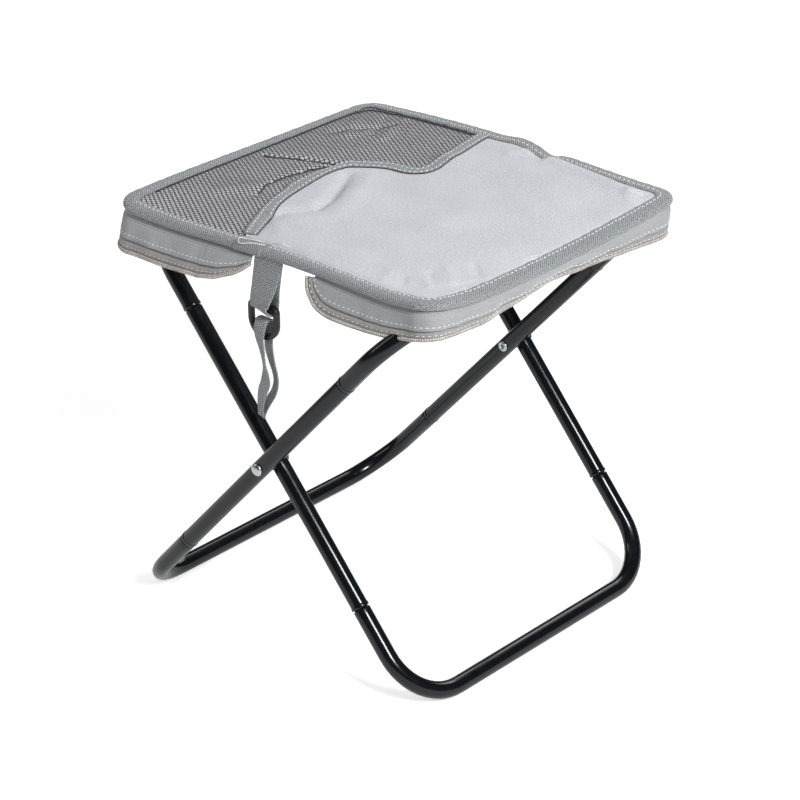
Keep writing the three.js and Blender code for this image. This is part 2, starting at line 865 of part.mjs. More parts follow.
const netLeftOuter = halfColumns(crownInset, 7);
const netLeftOutline = [
  ...netLeftOuter.toReversed().map((x) => [-x, innerEdgeY(x, crownInset)]).toReversed(),
  ...netLeftOuter.toReversed().map((x) => [-x, -innerEdgeY(x, crownInset)]),
].map(([x, y]) => new THREE.Vector2(x, y))
  .filter((point) => point.x < pocketX(point.y) - netGap);
const netEdge = leftRows.map((y) => new THREE.Vector2(pocketX(y) - netGap, y));
const netFold = evenly(crossing, rearLimit, 8).slice(0, -1).map((y) => new THREE.Vector2(leftFold, y));

function insideSeat(x, y, margin) {
  return Math.abs(x) < halfLength - crownInset - margin
    && Math.abs(y) < innerEdgeY(Math.abs(x) + margin, crownInset) - margin;
}

add(stool, 'net_left', net(
  [...netLeftOutline, ...netEdge, ...netFold],
  (x, y, margin) => insideSeat(x, y, margin)
    && x < leftFold - margin
    && [-margin, 0, margin].every((step) => x < pocketX(y + step) - margin),
), netCloth);

const netSpineEdge = spineRows.filter((y) => pocketX(y) > spineLeft + netStrand && y > crossing)
  .map((y) => new THREE.Vector2(pocketX(y) - netGap, y));
add(stool, 'net_spine', net(
  [...netSpineEdge.map(({ y }) => new THREE.Vector2(spineLeft, y)).toReversed(), ...netSpineEdge],
  (x, y, margin) => x > spineLeft + margin && insideSeat(x, y, margin) && y > crossing + netStrand + margin
    && [-margin, 0, margin].every((step) => x < pocketX(y + step) - margin),
), netCloth);

// The tape sewn over the pocket's edge, cut where the seat folds
function edgeTape(keep) {
  const points = pocketCurve.getSpacedPoints(40);
  const stations = points.map((point, i) => {
    const before = points[Math.max(i - 1, 0)];
    const after = points[Math.min(i + 1, points.length - 1)];
    const way = after.clone().sub(before).normalize();
    return { x: point.x, y: point.y, nx: way.y, ny: -way.x };
  }).filter(keep);
  const bottom = overlayTop + fit;
  const place = (height) => (station, share) => {
    const x = station.x + station.nx * edgeTapeWidth * share;
    const y = station.y + station.ny * edgeTapeWidth * share;
    return [x, y, height + crown(x, y)];
  };
  return slab(stations, [0, 1 / 2, 1], place(bottom), place(bottom + edgeTapeThickness));
}

const tapeMargin = edgeTapeWidth + minWidth;
add(stool, 'pocket_edge_left', edgeTape(({ x, y }) => (
  x < leftFold - minWidth && y < crossing - tapeMargin / 2 && y > frontLimit + minWidth
)), tapeCloth);
add(stool, 'pocket_edge_spine', edgeTape(({ x, y }) => (
  x > spineLeft + minWidth && y > crossing + tapeMargin && y < rearLimit - minWidth
)), tapeCloth);

// Strap

// A band bent into a long closed loop that hangs from a wire along X at z = 0
function bandLoop(boreHalf) {
  const top = evenly(0, Math.PI, arcSteps);
  const outline = (grow, end) => {
    const points = top.map((angle) => new THREE.Vector2(
      (boreHalf + grow) * Math.cos(angle),
      (loopBoreRise + grow) * Math.sin(angle),
    ));
    const falling = [
      [loopPinch + grow, loopPinchShare * loopLength],
      [loopBulge + grow, loopBulgeShare * loopLength],
      [webbingThickness + grow, loopCloseShare * loopLength],
      [grow, end],
    ];
    falling.forEach(([half, drop]) => points.push(new THREE.Vector2(-half, -drop)));
    falling.toReversed().filter(([half]) => half > 0)
      .forEach(([half, drop]) => points.push(new THREE.Vector2(half, -drop)));
    return points;
  };
  const outer = outline(webbingThickness, loopLength);
  const inner = outline(0, loopLength - webbingThickness * 2);
  const shape = outlined(outer, inner);
  return new THREE.ExtrudeGeometry(shape, { depth: loopWidth, bevelEnabled: false })
    .translate(0, 0, -loopWidth / 2)
    .rotateY(Math.PI / 2)
    .rotateX(Math.PI / 2);
}

// The tab: a doubled band that opens round the ring's bar at its lower end, drawn with z down the tab
function tab() {
  const bore = ringWire / 2 + ringBevel;
  const outside = bore + webbingThickness;
  const half = webbingThickness;
  const bend = evenly(0, Math.PI, arcSteps).map((angle) => [Math.cos(angle), -Math.sin(angle)]);
  const outer = [
    new THREE.Vector2(-half, 0),
    new THREE.Vector2(half, 0),
    new THREE.Vector2(half, -tabLength / 2),
    ...bend.map(([across, up]) => new THREE.Vector2(across * outside, -tabLength + up * outside)),
    new THREE.Vector2(-half, -tabLength / 2),
  ];
  const inner = [
    new THREE.Vector2(0, -tabLength / 2 - webbingThickness),
    ...bend.map(([across, up]) => new THREE.Vector2(across * bore, -tabLength + up * bore)),
  ];
  const shape = outlined(outer, inner);
  return new THREE.ExtrudeGeometry(shape, { depth: tabWidth, bevelEnabled: false })
    .translate(0, 0, -tabWidth / 2)
    .rotateY(Math.PI / 2)
    .rotateX(Math.PI / 2);
}

// A D-shaped ring with its bar along X at z = 0
function dRing() {
  const innerHalf = tabWidth / 2 + fit;
  const outerHalf = innerHalf + ringWire;
  const bottom = ringWire / 2 - ringHeight;
  const outer = new THREE.Shape();
  outer.moveTo(-outerHalf, ringWire / 2);
  outer.lineTo(-outerHalf, bottom + outerHalf);
  outer.absarc(0, bottom + outerHalf, outerHalf, Math.PI, 2 * Math.PI, false);
  outer.lineTo(outerHalf, ringWire / 2);
  const inner = new THREE.Path();
  inner.moveTo(-innerHalf, -ringWire / 2);
  inner.lineTo(-innerHalf, bottom + outerHalf);
  inner.absarc(0, bottom + outerHalf, innerHalf, Math.PI, 2 * Math.PI, false);
  inner.lineTo(innerHalf, -ringWire / 2);
  outer.holes.push(inner);
  return new THREE.ExtrudeGeometry(outer, {
    depth: ringWire - 2 * ringBevel,
    bevelThickness: ringBevel,
    bevelSize: ringBevel,
    bevelOffset: -ringBevel,
    bevelSegments: 1,
    curveSegments: arcSteps,
  }).translate(0, 0, ringBevel - ringWire / 2).rotateX(Math.PI / 2);
}

const tabY = -(edgeY(0) - bindingThickness - webbingThickness);
const tabTop = bindingBottom - tabDrop;
const ringY = tabY - tabLength * Math.sin(strapSlant);
const ringZ = tabTop - tabLength * Math.cos(strapSlant);
const loopBore = ringWire + 2 * ringBevel;

const strapTab = add(stool, 'strap_tab', tab(), webbing);
strapTab.position.set(strapOffset, tabY, tabTop);
strapTab.rotation.x = -strapSlant;
add(stool, 'd_ring', dRing(), blackPlastic).position.set(strapOffset, ringY, ringZ);
const strapLoop = add(stool, 'strap_loop', bandLoop(loopBore), webbing);
strapLoop.position.set(strapOffset, ringY, ringZ + ringWire - ringHeight);
strapLoop.rotation.z = -loopTurn;

// Zip slider, on the rear stretch of the left half, and its puller

const chainBottom = wallTop - wallDepth;
const chainOuterY = halfWidth - wallInset + wallSpread + chainThickness / 2;
const chainInnerY = chainOuterY - chainThickness - (wallSpread * chainHeight) / wallDepth;
const sliderX = -(halfSpine + wallStart + wallEndRound + sliderSetback + sliderLength / 2);
const plateFace = chainOuterY + fit + sliderOuterPlate;
const hookZ = chainBottom + sliderRise - hookWall - pullerThickness;

// An outline of [y, z] points carried along X
function alongX(outline, width, x) {
  const shape = outlined(outline.map(([y, z]) => new THREE.Vector2(y, z)));
  return new THREE.ExtrudeGeometry(shape, { depth: width, bevelEnabled: false })
    .translate(0, 0, -width / 2)
    .rotateY(Math.PI / 2)
    .rotateX(Math.PI / 2)
    .translate(x, 0, 0);
}

const channelFloor = chainBottom - fit;
const channel = alongX([
  [chainInnerY - fit - sliderPlate, channelFloor - sliderPlate],
  [plateFace, channelFloor - sliderPlate],
  [plateFace, chainBottom + sliderRise],
  [chainOuterY + fit, chainBottom + sliderRise],
  [chainOuterY + fit, channelFloor],
  [chainInnerY - fit, channelFloor],
  [chainInnerY - fit, chainBottom + chainHeight],
  [chainInnerY - fit - sliderPlate, chainBottom + chainHeight],
], sliderLength, sliderX);
const hook = alongX([
  [plateFace - hookWall / 2, hookZ + pullerThickness],
  [plateFace - hookWall / 2, hookZ + pullerThickness + hookWall],
  [plateFace + hookReach, hookZ + pullerThickness + hookWall],
  [plateFace + hookReach, hookZ - hookDrop],
  [plateFace + hookReach - hookWall, hookZ - hookDrop],
  [plateFace + hookReach - hookWall, hookZ + pullerThickness],
], hookWidth, sliderX);
add(stool, 'zip_slider', joined(channel, hook), zincPlate);

function puller() {
  const barHalf = pullerThickness / 2;
  const sideHalf = hookWidth / 2 + fit;
  const rectangle = (half, top, bottom) => [
    new THREE.Vector2(-half, top),
    new THREE.Vector2(-half, bottom),
    new THREE.Vector2(half, bottom),
    new THREE.Vector2(half, top),
  ];
  const shape = outlined(
    rectangle(pullerWidth / 2, barHalf, barHalf - pullerLength),
    rectangle(sideHalf, -barHalf, -barHalf - pullerWindow),
  );
  return new THREE.ExtrudeGeometry(shape, { depth: pullerThickness, bevelEnabled: false })
    .translate(0, 0, -barHalf)
    .rotateX(Math.PI / 2);
}

add(stool, 'zip_puller', puller(), zincPlate)
  .position.set(sliderX, plateFace + (hookReach - hookWall) / 2, hookZ);

export default stool;
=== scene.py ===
# %% [markdown]
# A folding stool, dressed. The rigid frame comes in first: it says where every piece sits and
# which body carries it. Everything after it is the look: smoother tubes, cloth, net, tape,
# zips, webbing and stitching. All sizes below are written in millimetres and turned to metres
# only when a mesh is made.

# %% The frame that carries everything
import math

import bpy
import numpy as np
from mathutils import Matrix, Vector


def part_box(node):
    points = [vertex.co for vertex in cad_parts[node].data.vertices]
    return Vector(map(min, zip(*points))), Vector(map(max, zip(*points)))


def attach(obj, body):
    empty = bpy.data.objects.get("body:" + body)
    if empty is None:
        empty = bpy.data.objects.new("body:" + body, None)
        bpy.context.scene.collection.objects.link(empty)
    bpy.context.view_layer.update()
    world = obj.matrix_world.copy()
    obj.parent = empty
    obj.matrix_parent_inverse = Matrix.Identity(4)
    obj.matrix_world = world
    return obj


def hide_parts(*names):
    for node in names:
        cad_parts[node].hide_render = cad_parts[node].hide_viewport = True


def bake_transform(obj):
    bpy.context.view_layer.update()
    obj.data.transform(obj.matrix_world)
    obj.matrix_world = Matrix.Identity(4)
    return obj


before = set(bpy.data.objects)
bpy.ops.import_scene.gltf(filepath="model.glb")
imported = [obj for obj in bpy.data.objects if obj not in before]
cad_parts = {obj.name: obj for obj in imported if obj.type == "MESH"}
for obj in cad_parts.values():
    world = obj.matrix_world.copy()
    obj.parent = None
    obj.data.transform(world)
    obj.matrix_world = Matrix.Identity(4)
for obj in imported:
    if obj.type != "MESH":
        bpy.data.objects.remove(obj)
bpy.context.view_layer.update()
mm = 0.001

# %% [markdown]
# The camera stands where the photographer stood: in front and to the right, a good two metres
# away, looking slightly down. A long lens keeps the legs nearly parallel. The small shift puts
# the optical axis where it lies in the picture.

# %% The camera
photo_width = 800
focal_px = 2897.3
camera_at = Vector((1265.4, -1364.8, 1120.0)) * mm
looks_along = Vector((-0.59771, 0.65598, -0.46091))
camera = bpy.data.objects.new("camera", bpy.data.cameras.new("camera"))
camera.data.sensor_width = 36
camera.data.lens = focal_px / photo_width * 36
camera.data.shift_x = -20.06 / photo_width
camera.data.shift_y = 0.93 / photo_width
camera.data.clip_end = 100
camera.location = camera_at
camera.rotation_euler = looks_along.to_track_quat("-Z", "Y").to_euler()
bpy.context.scene.collection.objects.link(camera)
bpy.context.scene.camera = camera
print("lens", round(camera.data.lens, 1), "mm")

# %% [markdown]
# One small tool makes nearly every mesh. It joins a grid of points to a closed surface and gives
# each point the two lengths, along and across, that the weave is drawn on. The faces are turned
# outwards by the sign of the volume that they enclose.


# %% Meshes from grids of points
def built(name, corners, faces, lengths):
    """A piece from corners in millimetres and faces. lengths has a row for each corner: the
    millimetres along and across that the cloth patterns are drawn on."""
    mesh = bpy.data.meshes.new(name)
    mesh.from_pydata((corners * mm).tolist(), [], faces)
    layer = mesh.uv_layers.new(name="cloth")
    loops = np.zeros(len(mesh.loops), dtype=np.int32)
    mesh.loops.foreach_get("vertex_index", loops)
    layer.data.foreach_set("uv", lengths[loops].astype(np.float32).ravel())
    mesh.update()
    piece = bpy.data.objects.new(name, mesh)
    bpy.context.scene.collection.objects.link(piece)
    return piece


def surface(name, points, wrap_along=False, lengths=None, smooth=True):
    """points[i, j] is the place of station i and section corner j, in millimetres. Neighbours
    are joined by four-sided faces, and each section closes on itself. Where the stations don't
    close to a ring, one face closes each end."""
    along, across = points.shape[:2]
    i = np.arange(along if wrap_along else along - 1)[:, None]
    j = np.arange(across)[None, :]
    i2, j2 = (i + 1) % along, (j + 1) % across
    quads = np.stack(np.broadcast_arrays(
        i * across + j, i2 * across + j, i2 * across + j2, i * across + j2), -1).reshape(-1, 4)
    corners = points.reshape(-1, 3)
    faces = quads.tolist()
    if not wrap_along:
        faces.append(list(range(across)))
        faces.append(list(range((along - 1) * across, along * across))[::-1])
    a, b, c, d = (corners[quads[:, k]] for k in range(4))
    volume = (np.cross(a, b) * c).sum() + (np.cross(a, c) * d).sum()
    if volume < 0:
        faces = [face[::-1] for face in faces]
    if lengths is None:
        steps = np.linalg.norm(np.diff(points, axis=0), axis=-1).mean(1)
        turns = np.linalg.norm(np.diff(points, axis=1), axis=-1).mean(0)
        lengths = np.stack(np.meshgrid(
            np.r_[0, np.cumsum(steps)], np.r_[0, np.cumsum(turns)], indexing="ij"), -1)
    piece = built(name, corners, faces, lengths.reshape(-1, 2))
    caps = len(piece.data.polygons) - len(quads)
    piece.data.polygons.foreach_set("use_smooth", [smooth] * len(quads) + [False] * caps)
    piece.data.update()
    return piece


print("grids become meshes")

# %% [markdown]
# Tubes, cords, bands and castings are all a section carried along a path, and a section is most
# often a circle or an oval. A finished piece is then dressed: it gets its finish, and the frame
# is told which solids it stands for and what carries it.


# %% Paths, sections and dressing
def carried(name, centre, side, up, across, rise, wrap=False, smooth=True):
    """A section carried along a path: every corner lies at centre + side * across + up * rise.
    side, up, across and rise are the same for all stations, or have one row for each."""
    side, up, across, rise = (
        np.broadcast_to(v, (len(centre), np.shape(v)[-1])) for v in (side, up, across, rise))
    points = centre[:, None] + side[:, None] * across[..., None] + up[:, None] * rise[..., None]
    return surface(name, points, wrap_along=wrap, smooth=smooth)


def unit(v):
    """Each vector divided by its own length."""
    return v / np.linalg.norm(v, axis=-1, keepdims=True)


def circle(count):
    """Angles at even steps round a section."""
    return np.linspace(0, 2 * math.pi, count, endpoint=False)


def oval(count, wide, tall):
    """A section with count corners, across and up."""
    return wide * np.cos(circle(count)), tall * np.sin(circle(count))


def heading(path, closed=False):
    """The direction of a path at each of its places."""
    if closed:
        return unit(np.roll(path, -1, axis=0) - np.roll(path, 1, axis=0))
    return unit(np.gradient(path, axis=0))


def length_of(path):
    """The sum of the steps from place to place."""
    return np.linalg.norm(np.diff(path, axis=0), axis=1).sum()


def dressed(piece, finish, slot, *nodes, body=None):
    """Gives a piece its finish and, where it is stiff, the body that carries it. It
    takes the place of the named solids. slot is not used."""
    piece.data.materials.append(finish)
    if body:
        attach(piece, body)
    if nodes:
        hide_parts(*nodes)
    return piece


def smoothstep(value):
    """A soft rise from 0 to 1: three squares less two cubes of the value."""
    held = np.clip(value, 0, 1)
    return held * held * (3 - 2 * held)


print("tools ready, a quarter of the way is", circle(4)[1].round(3))

# %% [markdown]
# Colours are picked as the hex values that a paint chart gives, and turned to the linear
# numbers that light adds up in. One helper adds a shader node with its settings and links, so
# each material below reads as a short recipe.


# %% Colour and shader helpers
def linear(hex_colour):
    """The sRGB curve undone: a straight piece below 0.04045 and a power of 2.4 above it."""
    value = np.array([int(hex_colour[k:k + 2], 16) for k in (0, 2, 4)]) / 255
    low, high = value / 12.92, ((value + 0.055) / 1.055) ** 2.4
    return (*np.where(value <= 0.04045, low, high), 1.0)


def node(tree, kind, links=(), **settings):
    """A new shader node. links gives each named input a value or another node's output."""
    made = tree.nodes.new(kind)
    for key, value in settings.items():
        setattr(made, key, value)
    for socket, value in dict(links).items():
        if isinstance(value, bpy.types.NodeSocket):
            tree.links.new(value, made.inputs[socket])
        else:
            made.inputs[socket].default_value = value
    return made


def ranged(tree, value, low, high, to_low=0.0, to_high=1.0):
    """What runs from low to high is stretched to run from to_low to to_high."""
    return node(tree, "ShaderNodeMapRange", {
        "Value": value, "From Min": low, "From Max": high, "To Min": to_low, "To Max": to_high}).outputs[0]


def times(tree, colour, shade):
    """A colour multiplied by a shade."""
    return node(tree, "ShaderNodeMix", {
        0: 1.0, 6: colour, 7: shade}, data_type="RGBA", blend_type="MULTIPLY").outputs[2]


def begin(name, **uniform):
    """A material with its Principled shader, whose uniform values sit on the shader's sockets."""
    material = bpy.data.materials.new(name)
    material.use_nodes = True
    shader = material.node_tree.nodes["Principled BSDF"]
    for socket, value in uniform.items():
        shader.inputs[socket.replace("_", " ")].default_value = value
    return material, material.node_tree, shader


print("white is", linear("ffffff")[:3])

# %% [markdown]
# Woven polyester, the cloth of the seat. Threads cross over and under each other, so the cloth
# is drawn as two sets of fine bands that multiply into small bumps. Real thread spacing is
# about 0.4 mm. It is drawn at 0.8 mm or more so that it shows at this distance. A slow noise
# makes the cloth lighter and darker where it has been handled. The net's yarn, the tapes, the
# zip's teeth and the foam take the same recipe with other colours and spacings.


# %% Woven cloth
def woven(name, light, dark, thread, relief=0.12, turn=0.0, blotch=0.35, sheen=0.25):
    """Height is the product of two sine bands, one for each set of threads."""
    material, tree, shader = begin(name, Roughness=0.88, Sheen_Weight=sheen, Sheen_Roughness=0.4)
    place = node(tree, "ShaderNodeUVMap", uv_map="cloth")
    turned = node(tree, "ShaderNodeMapping", {
        "Vector": place.outputs[0], "Rotation": (0, 0, turn), "Scale": (1 / thread, 1 / thread, 1)})
    bands = [node(tree, "ShaderNodeTexWave", {
        "Vector": turned.outputs[0], "Scale": math.pi / 10, "Distortion": 0.4, "Detail": 1.0,
        "Detail Scale": 0.6}, bands_direction=way).outputs["Fac"] for way in "XY"]
    weave = node(tree, "ShaderNodeMath", {0: bands[0], 1: bands[1]}, operation="MULTIPLY")
    fuzz = node(tree, "ShaderNodeTexNoise", {"Vector": turned.outputs[0], "Scale": 0.9, "Detail": 3.0})
    slow = node(tree, "ShaderNodeTexNoise", {"Vector": place.outputs[0], "Scale": 0.022, "Detail": 4.0})
    both = node(tree, "ShaderNodeMath", {0: weave.outputs[0], 1: fuzz.outputs["Fac"]}, operation="ADD")
    thread_colour = node(tree, "ShaderNodeMix", {
        0: ranged(tree, both.outputs[0], 0.4, 1.2), 6: linear(dark), 7: linear(light)}, data_type="RGBA")
    shade = ranged(tree, slow.outputs["Fac"], 0.3, 0.7, 1 - blotch * 0.3)
    bump = node(tree, "ShaderNodeBump", {"Height": both.outputs[0], "Strength": relief, "Distance": 0.0006})
    tree.links.new(times(tree, thread_colour.outputs[2], shade), shader.inputs["Base Color"])
    tree.links.new(bump.outputs[0], shader.inputs["Normal"])
    return material


light_cloth = woven("light_oxford_cloth", "dee0e6", "a6a8ae", 1.35, 0.45, turn=0.12)
base_cloth = woven("grey_base_cloth", "dadade", "b4b4b9", 1.0, 0.15)
wall_cloth = woven("grey_wall_cloth", "b0b2b3", "888a8b", 1.0, 0.22)
lining_cloth = woven("smooth_lining", "a6a6a8", "8e8e90", 0.8, 0.06)
sleeve_cloth = woven("sleeve_cloth", "9a9a9e", "7c7c80", 1.1, 0.2)
binding_tape = woven("ribbed_binding_tape", "b2b6b8", "595e61", 1.4, 0.65, turn=0.75, blotch=0.25)
net_yarn = woven("knitted_net_yarn", "484950", "2a2b2f", 0.8, 0.3)
# The darker yarn is the net lying double along its creases, and painted shade where it lines the binding's
# inner edge and the pocket tape's edge.
doubled_net_and_painted_shade = woven("doubled_net_yarn_and_painted_shade", "26272b", "17181b", 1.0, 0.3)
zip_tape = woven("zip_tape_cloth", "a9a7a6", "848281", 1.0, 0.3)
zip_teeth = woven("polyester_zip_teeth", "d6d2cc", "77736e", 1.7, 0.5)
webbing_cloth = woven("ribbed_webbing", "a8acac", "666b6c", 1.5, 0.6, turn=0.6)
foam_sheet = woven("closed_cell_foam", "e9e7df", "dcd9d0", 2.0, 0.1)
print("cloths made, such as", light_cloth.name, "and", net_yarn.name)

# %% [markdown]
# The hard finishes. Black powder coat is a plastic film baked on steel: a glossy dark surface
# with a faint orange peel. Zinc plate is a bright metal with a slightly cloudy gloss. Moulded
# nylon is black and half matt. Sewing thread is pale and nearly matt, and a coarse grain breaks
# up its light as its twist does.


# %% Paint, zinc, nylon and thread
def hard(name, colour, roughness, grain, metallic=0.0, relief=0.02, **uniform):
    """A noise moves the gloss and the surface a little, as a coating's texture does. grain is
    the size of its specks in millimetres."""
    material, tree, shader = begin(name, Metallic=metallic, **uniform)
    place = node(tree, "ShaderNodeTexCoord")
    speck = node(tree, "ShaderNodeTexNoise", {
        "Vector": place.outputs["Object"], "Scale": 1 / (grain * mm), "Detail": 3.0})
    gloss = ranged(tree, speck.outputs["Fac"], 0.3, 0.7, roughness * 0.8, roughness * 1.25)
    tint = ranged(tree, speck.outputs["Fac"], 0.3, 0.7, 0.85)
    bump = node(tree, "ShaderNodeBump", {
        "Height": speck.outputs["Fac"], "Strength": relief, "Distance": 0.0002})
    tree.links.new(times(tree, linear(colour), tint), shader.inputs["Base Color"])
    tree.links.new(gloss, shader.inputs["Roughness"])
    tree.links.new(bump.outputs[0], shader.inputs["Normal"])
    return material


black_paint = hard("black_powder_coat", "0c0f13", 0.19, 9.0, Coat_Weight=0.2, Specular_IOR_Level=0.32)
zinc = hard("zinc_plate", "c8d0d2", 0.3, 0.8, metallic=1.0, relief=0.1)
nylon = hard("black_moulded_nylon", "131416", 0.38, 0.9, relief=0.08)
thread = hard("pale_sewing_thread", "ecefef", 0.7, 0.4, relief=0.3)
print("hard finishes:", black_paint.name, zinc.name, nylon.name, thread.name)

# %% [markdown]
# The frame is steel tube, 12.7 mm across, bent into two U shapes that cross at the rivets. Each
# leg is three lengths: the bent top, a straight middle and the bent foot, which plug into each
# other. A tube is a circle carried along its path, and the bead at each mouth is a place where
# the circle grows.

# %% Sizes of the frame
tube = 6.35
bore = 5.35
neck = 5.05
lean = math.radians(41.45)
pivot = np.array([0.0, 0.0, 155.0])
half_frame = 130.0
frame_shift = 7.05
upper_joint, lower_joint = 121.5, 118.5
upper_reach = 190.7
lower_reach = (pivot[2] - tube * math.cos(math.pi / 12)) / math.cos(lean)
bend_radius = 42.0
ring = circle(40)
x_axis, y_axis, up_way = np.eye(3)


def leg_way(letter):
    """The unit vector up a leg: frame A leans to +X and frame B to -X."""
    sign = 1 if letter == "a" else -1
    return np.array([sign * math.sin(lean), 0.0, math.cos(lean)])


def frame_middle(letter):
    """The two frames lie side by side at the rivets: A a little forward and B a little back."""
    return pivot + y_axis * (-frame_shift if letter == "a" else frame_shift)


def bent_tube(name, letter, mouth, reach, ends, body, replaced):
    """A U of tube in the plane of one frame. ends lists, from inside the tube out to its mouth
    and back along its outside, pairs of a distance towards the bend and a radius."""
    up = leg_way(letter)
    toward = math.copysign(1, reach - mouth)
    start = reach - toward * bend_radius
    inner = half_frame - bend_radius
    turn = np.linspace(0, math.pi / 2, 13)
    heights, shifts, radii, ways = [], [], [], []
    for distance, radius in ends:
        heights.append(mouth + toward * distance)
        shifts.append(-half_frame)
        radii.append(radius)
        ways.append((toward, 0.0))
    for side, angles in ((-1, turn), (1, turn + math.pi / 2)):
        heights += list(start + toward * np.sin(angles) * bend_radius)
        shifts += list(side * inner - np.cos(angles) * bend_radius)
        radii += [tube] * len(angles)
        ways += [(toward * math.cos(t), math.sin(t)) for t in angles]
    for distance, radius in ends[::-1]:
        heights.append(mouth + toward * distance)
        shifts.append(half_frame)
        radii.append(radius)
        ways.append((-toward, 0.0))
    heights, shifts, radii = map(np.array, (heights, shifts, radii))
    centre = frame_middle(letter) + heights[:, None] * up + shifts[:, None] * y_axis
    way = np.array([up * a + y_axis * b for a, b in ways])
    flat = np.cross(up, y_axis)
    piece = carried(name, centre, flat, np.cross(way, flat), *oval(40, radii[:, None], radii[:, None]))
    return dressed(piece, black_paint, "frame_paint", replaced, body=body)


beaded_mouth = [
    (28, 0.3), (28, bore), (1, bore), (0.2, bore + 0.2), (0, bore + 0.6), (0.05, 6.45), (0.4, 6.68),
    (1.6, 6.7), (2.3, 6.6), (2.7, 6.38), (3.2, tube), (12, tube)]
necked_end = [
    (-26, 0.3), (-26, neck - 1.1), (-25.7, neck - 0.6), (-24.6, neck - 0.05), (-24, neck), (-0.4, neck),
    (0.1, neck + 0.25), (0.2, bore + 0.5), (0.5, tube - 0.12), (1.0, tube), (8, tube)]
for letter in "ab":
    bent_tube(f"top_bend_{letter}", letter, upper_joint, upper_reach, beaded_mouth,
              f"frame_{letter}", f"upper_frame_{letter}")
    bent_tube(f"foot_bend_{letter}", letter, -lower_joint - 0.5, -lower_reach, necked_end,
              f"foot_{letter}", f"foot_frame_{letter}")
print("bent tubes made, lower reach", round(lower_reach, 1))

# %% [markdown]
# The straight middle lengths are drawn the same way, as one list of stations. It starts inside
# the beaded mouth at the foot end, turns over the bead, runs up the outside and ends in the
# neck that plugs into the top bend.


# %% Middle tubes
def straight_tube(name, letter, side, body, replaced):
    """stations are pairs of a height along the leg, from the pivot, and a radius."""
    top = upper_joint - 0.5
    stations = [(-lower_joint + a, r) for a, r in beaded_mouth[:-1]]
    stations += [(top - 1.0, tube), (top - 0.4, tube - 0.12), (top - 0.1, bore + 0.4), (top, neck + 0.2),
                 (top + 0.4, neck), (top + 24, neck), (top + 25.4, neck - 0.4), (top + 26, neck - 1.0),
                 (top + 26, 0.3)]
    heights, radii = np.array(stations).T
    up = leg_way(letter)
    centre = frame_middle(letter) + heights[:, None] * up + y_axis * side * half_frame
    piece = carried(name, centre, np.cross(up, y_axis), y_axis, *oval(40, radii[:, None], radii[:, None]))
    return dressed(piece, black_paint, "frame_paint", replaced, body=body)


for letter in "ab":
    for place, side in (("front", -1), ("rear", 1)):
        straight_tube(f"straight_{letter}_{place}", letter, side, f"frame_{letter}",
                      f"middle_tube_{letter}_{place}")
print("straight tubes made")

# %% [markdown]
# A rivet goes through both tubes where they cross. Its head is a smooth dome. Its tail is
# hollow, and its rim has been rolled outwards over the tube. Both are turned shapes: a profile
# of distance and radius, spun round the rivet's axis.


# %% Rivets and spacers
def turned(name, profile, middle, direction, finish, body, replaced, slot):
    """profile lists pairs of a distance along Y and a radius."""
    distance, radius = np.array(profile).T
    centre = middle + y_axis * direction * distance[:, None]
    piece = carried(name, centre, x_axis, up_way, *oval(40, radius[:, None], radius[:, None]))
    return dressed(piece, finish, slot, replaced, body=body)


face = frame_shift + tube + 0.3
dome = [(face + 2.4 * math.sin(t), 4.75 * math.cos(t)) for t in np.linspace(0, math.pi / 2 - 0.02, 10)]
rivet_profile = [
    (-face + 5.6, 0.1), (-face + 5.6, 1.5), (-face - 1.0, 1.55), (-face - 1.35, 1.9),
    (-face - 1.4, 2.6), (-face - 1.25, 3.4), (-face - 0.8, 3.9), (-face - 0.3, 4.0), (-face, 3.9),
    (-face, 2.5), (face, 2.5), (face, 4.6)] + dome
spacer_profile = [(-0.4, 2.9), (-0.4, 5.3), (-0.25, 5.5), (0.25, 5.5), (0.4, 5.3), (0.4, 2.9)]
for place, side in (("front", -1), ("rear", 1)):
    at = pivot + y_axis * side * half_frame
    turned(f"rivet_pin_{place}", rivet_profile, at, side, zinc, "frame_a", f"rivet_{place}", "zinc")
    turned(f"washer_{place}", spacer_profile + spacer_profile[:1], at, 1, nylon, "frame_a",
           f"spacer_{place}", "black_plastic")
print("rivets made")

# %% [markdown]
# A cloth sleeve goes round each top bar and is sewn to the seat above it. It is a tube with a
# wall: its section runs out over the cloth and back along its inside. Where the seat pulls on
# it, the cloth gathers in small rings, so its outside swells and shrinks by a fraction of a
# millimetre.

# %% Sleeves on the top bars
sleeve_outer, sleeve_rim, sleeve_inner = 7.45, 6.95, 6.6
outer_count, inner_count = 150, 12
for place, body in (("right", "frame_a"), ("left", "frame_b")):
    low, high = (np.array(corner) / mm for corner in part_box(f"bar_sleeve_{place}"))
    middle_x, middle_z = (low[0] + high[0]) / 2, (low[2] + high[2]) / 2
    long = high[1] - low[1]
    outside = np.linspace(0, 1, outer_count)
    share = np.r_[outside, np.linspace(1, 0, inner_count)]
    along = share * long + low[1]
    gathers = sleeve_outer + 0.22 * np.sin(outside * long / 2.3 + 2 * np.sin(outside * long / 17))
    round_off = np.minimum(np.minimum(outside, 1 - outside) * long / 0.8, 1)
    rim_to_cloth = sleeve_rim + (gathers - sleeve_rim) * np.sqrt(round_off)
    radius = np.r_[rim_to_cloth, np.full(inner_count, sleeve_inner)]
    wander = 0.12 * np.sin(share * 19)[:, None] * np.cos(3 * ring)[None, :]
    size = radius[:, None] + np.where(np.arange(len(share))[:, None] < outer_count, wander, 0)
    points = np.stack(np.broadcast_arrays(
        middle_x + size * np.cos(ring), along[:, None], middle_z + size * np.sin(ring)), -1)
    sleeve = surface(f"bar_tunnel_{place}", points, wrap_along=True)
    dressed(sleeve, sleeve_cloth, "sleeve_cloth", f"bar_sleeve_{place}", body=body)
print("sleeves made, length", round(float(long), 1))

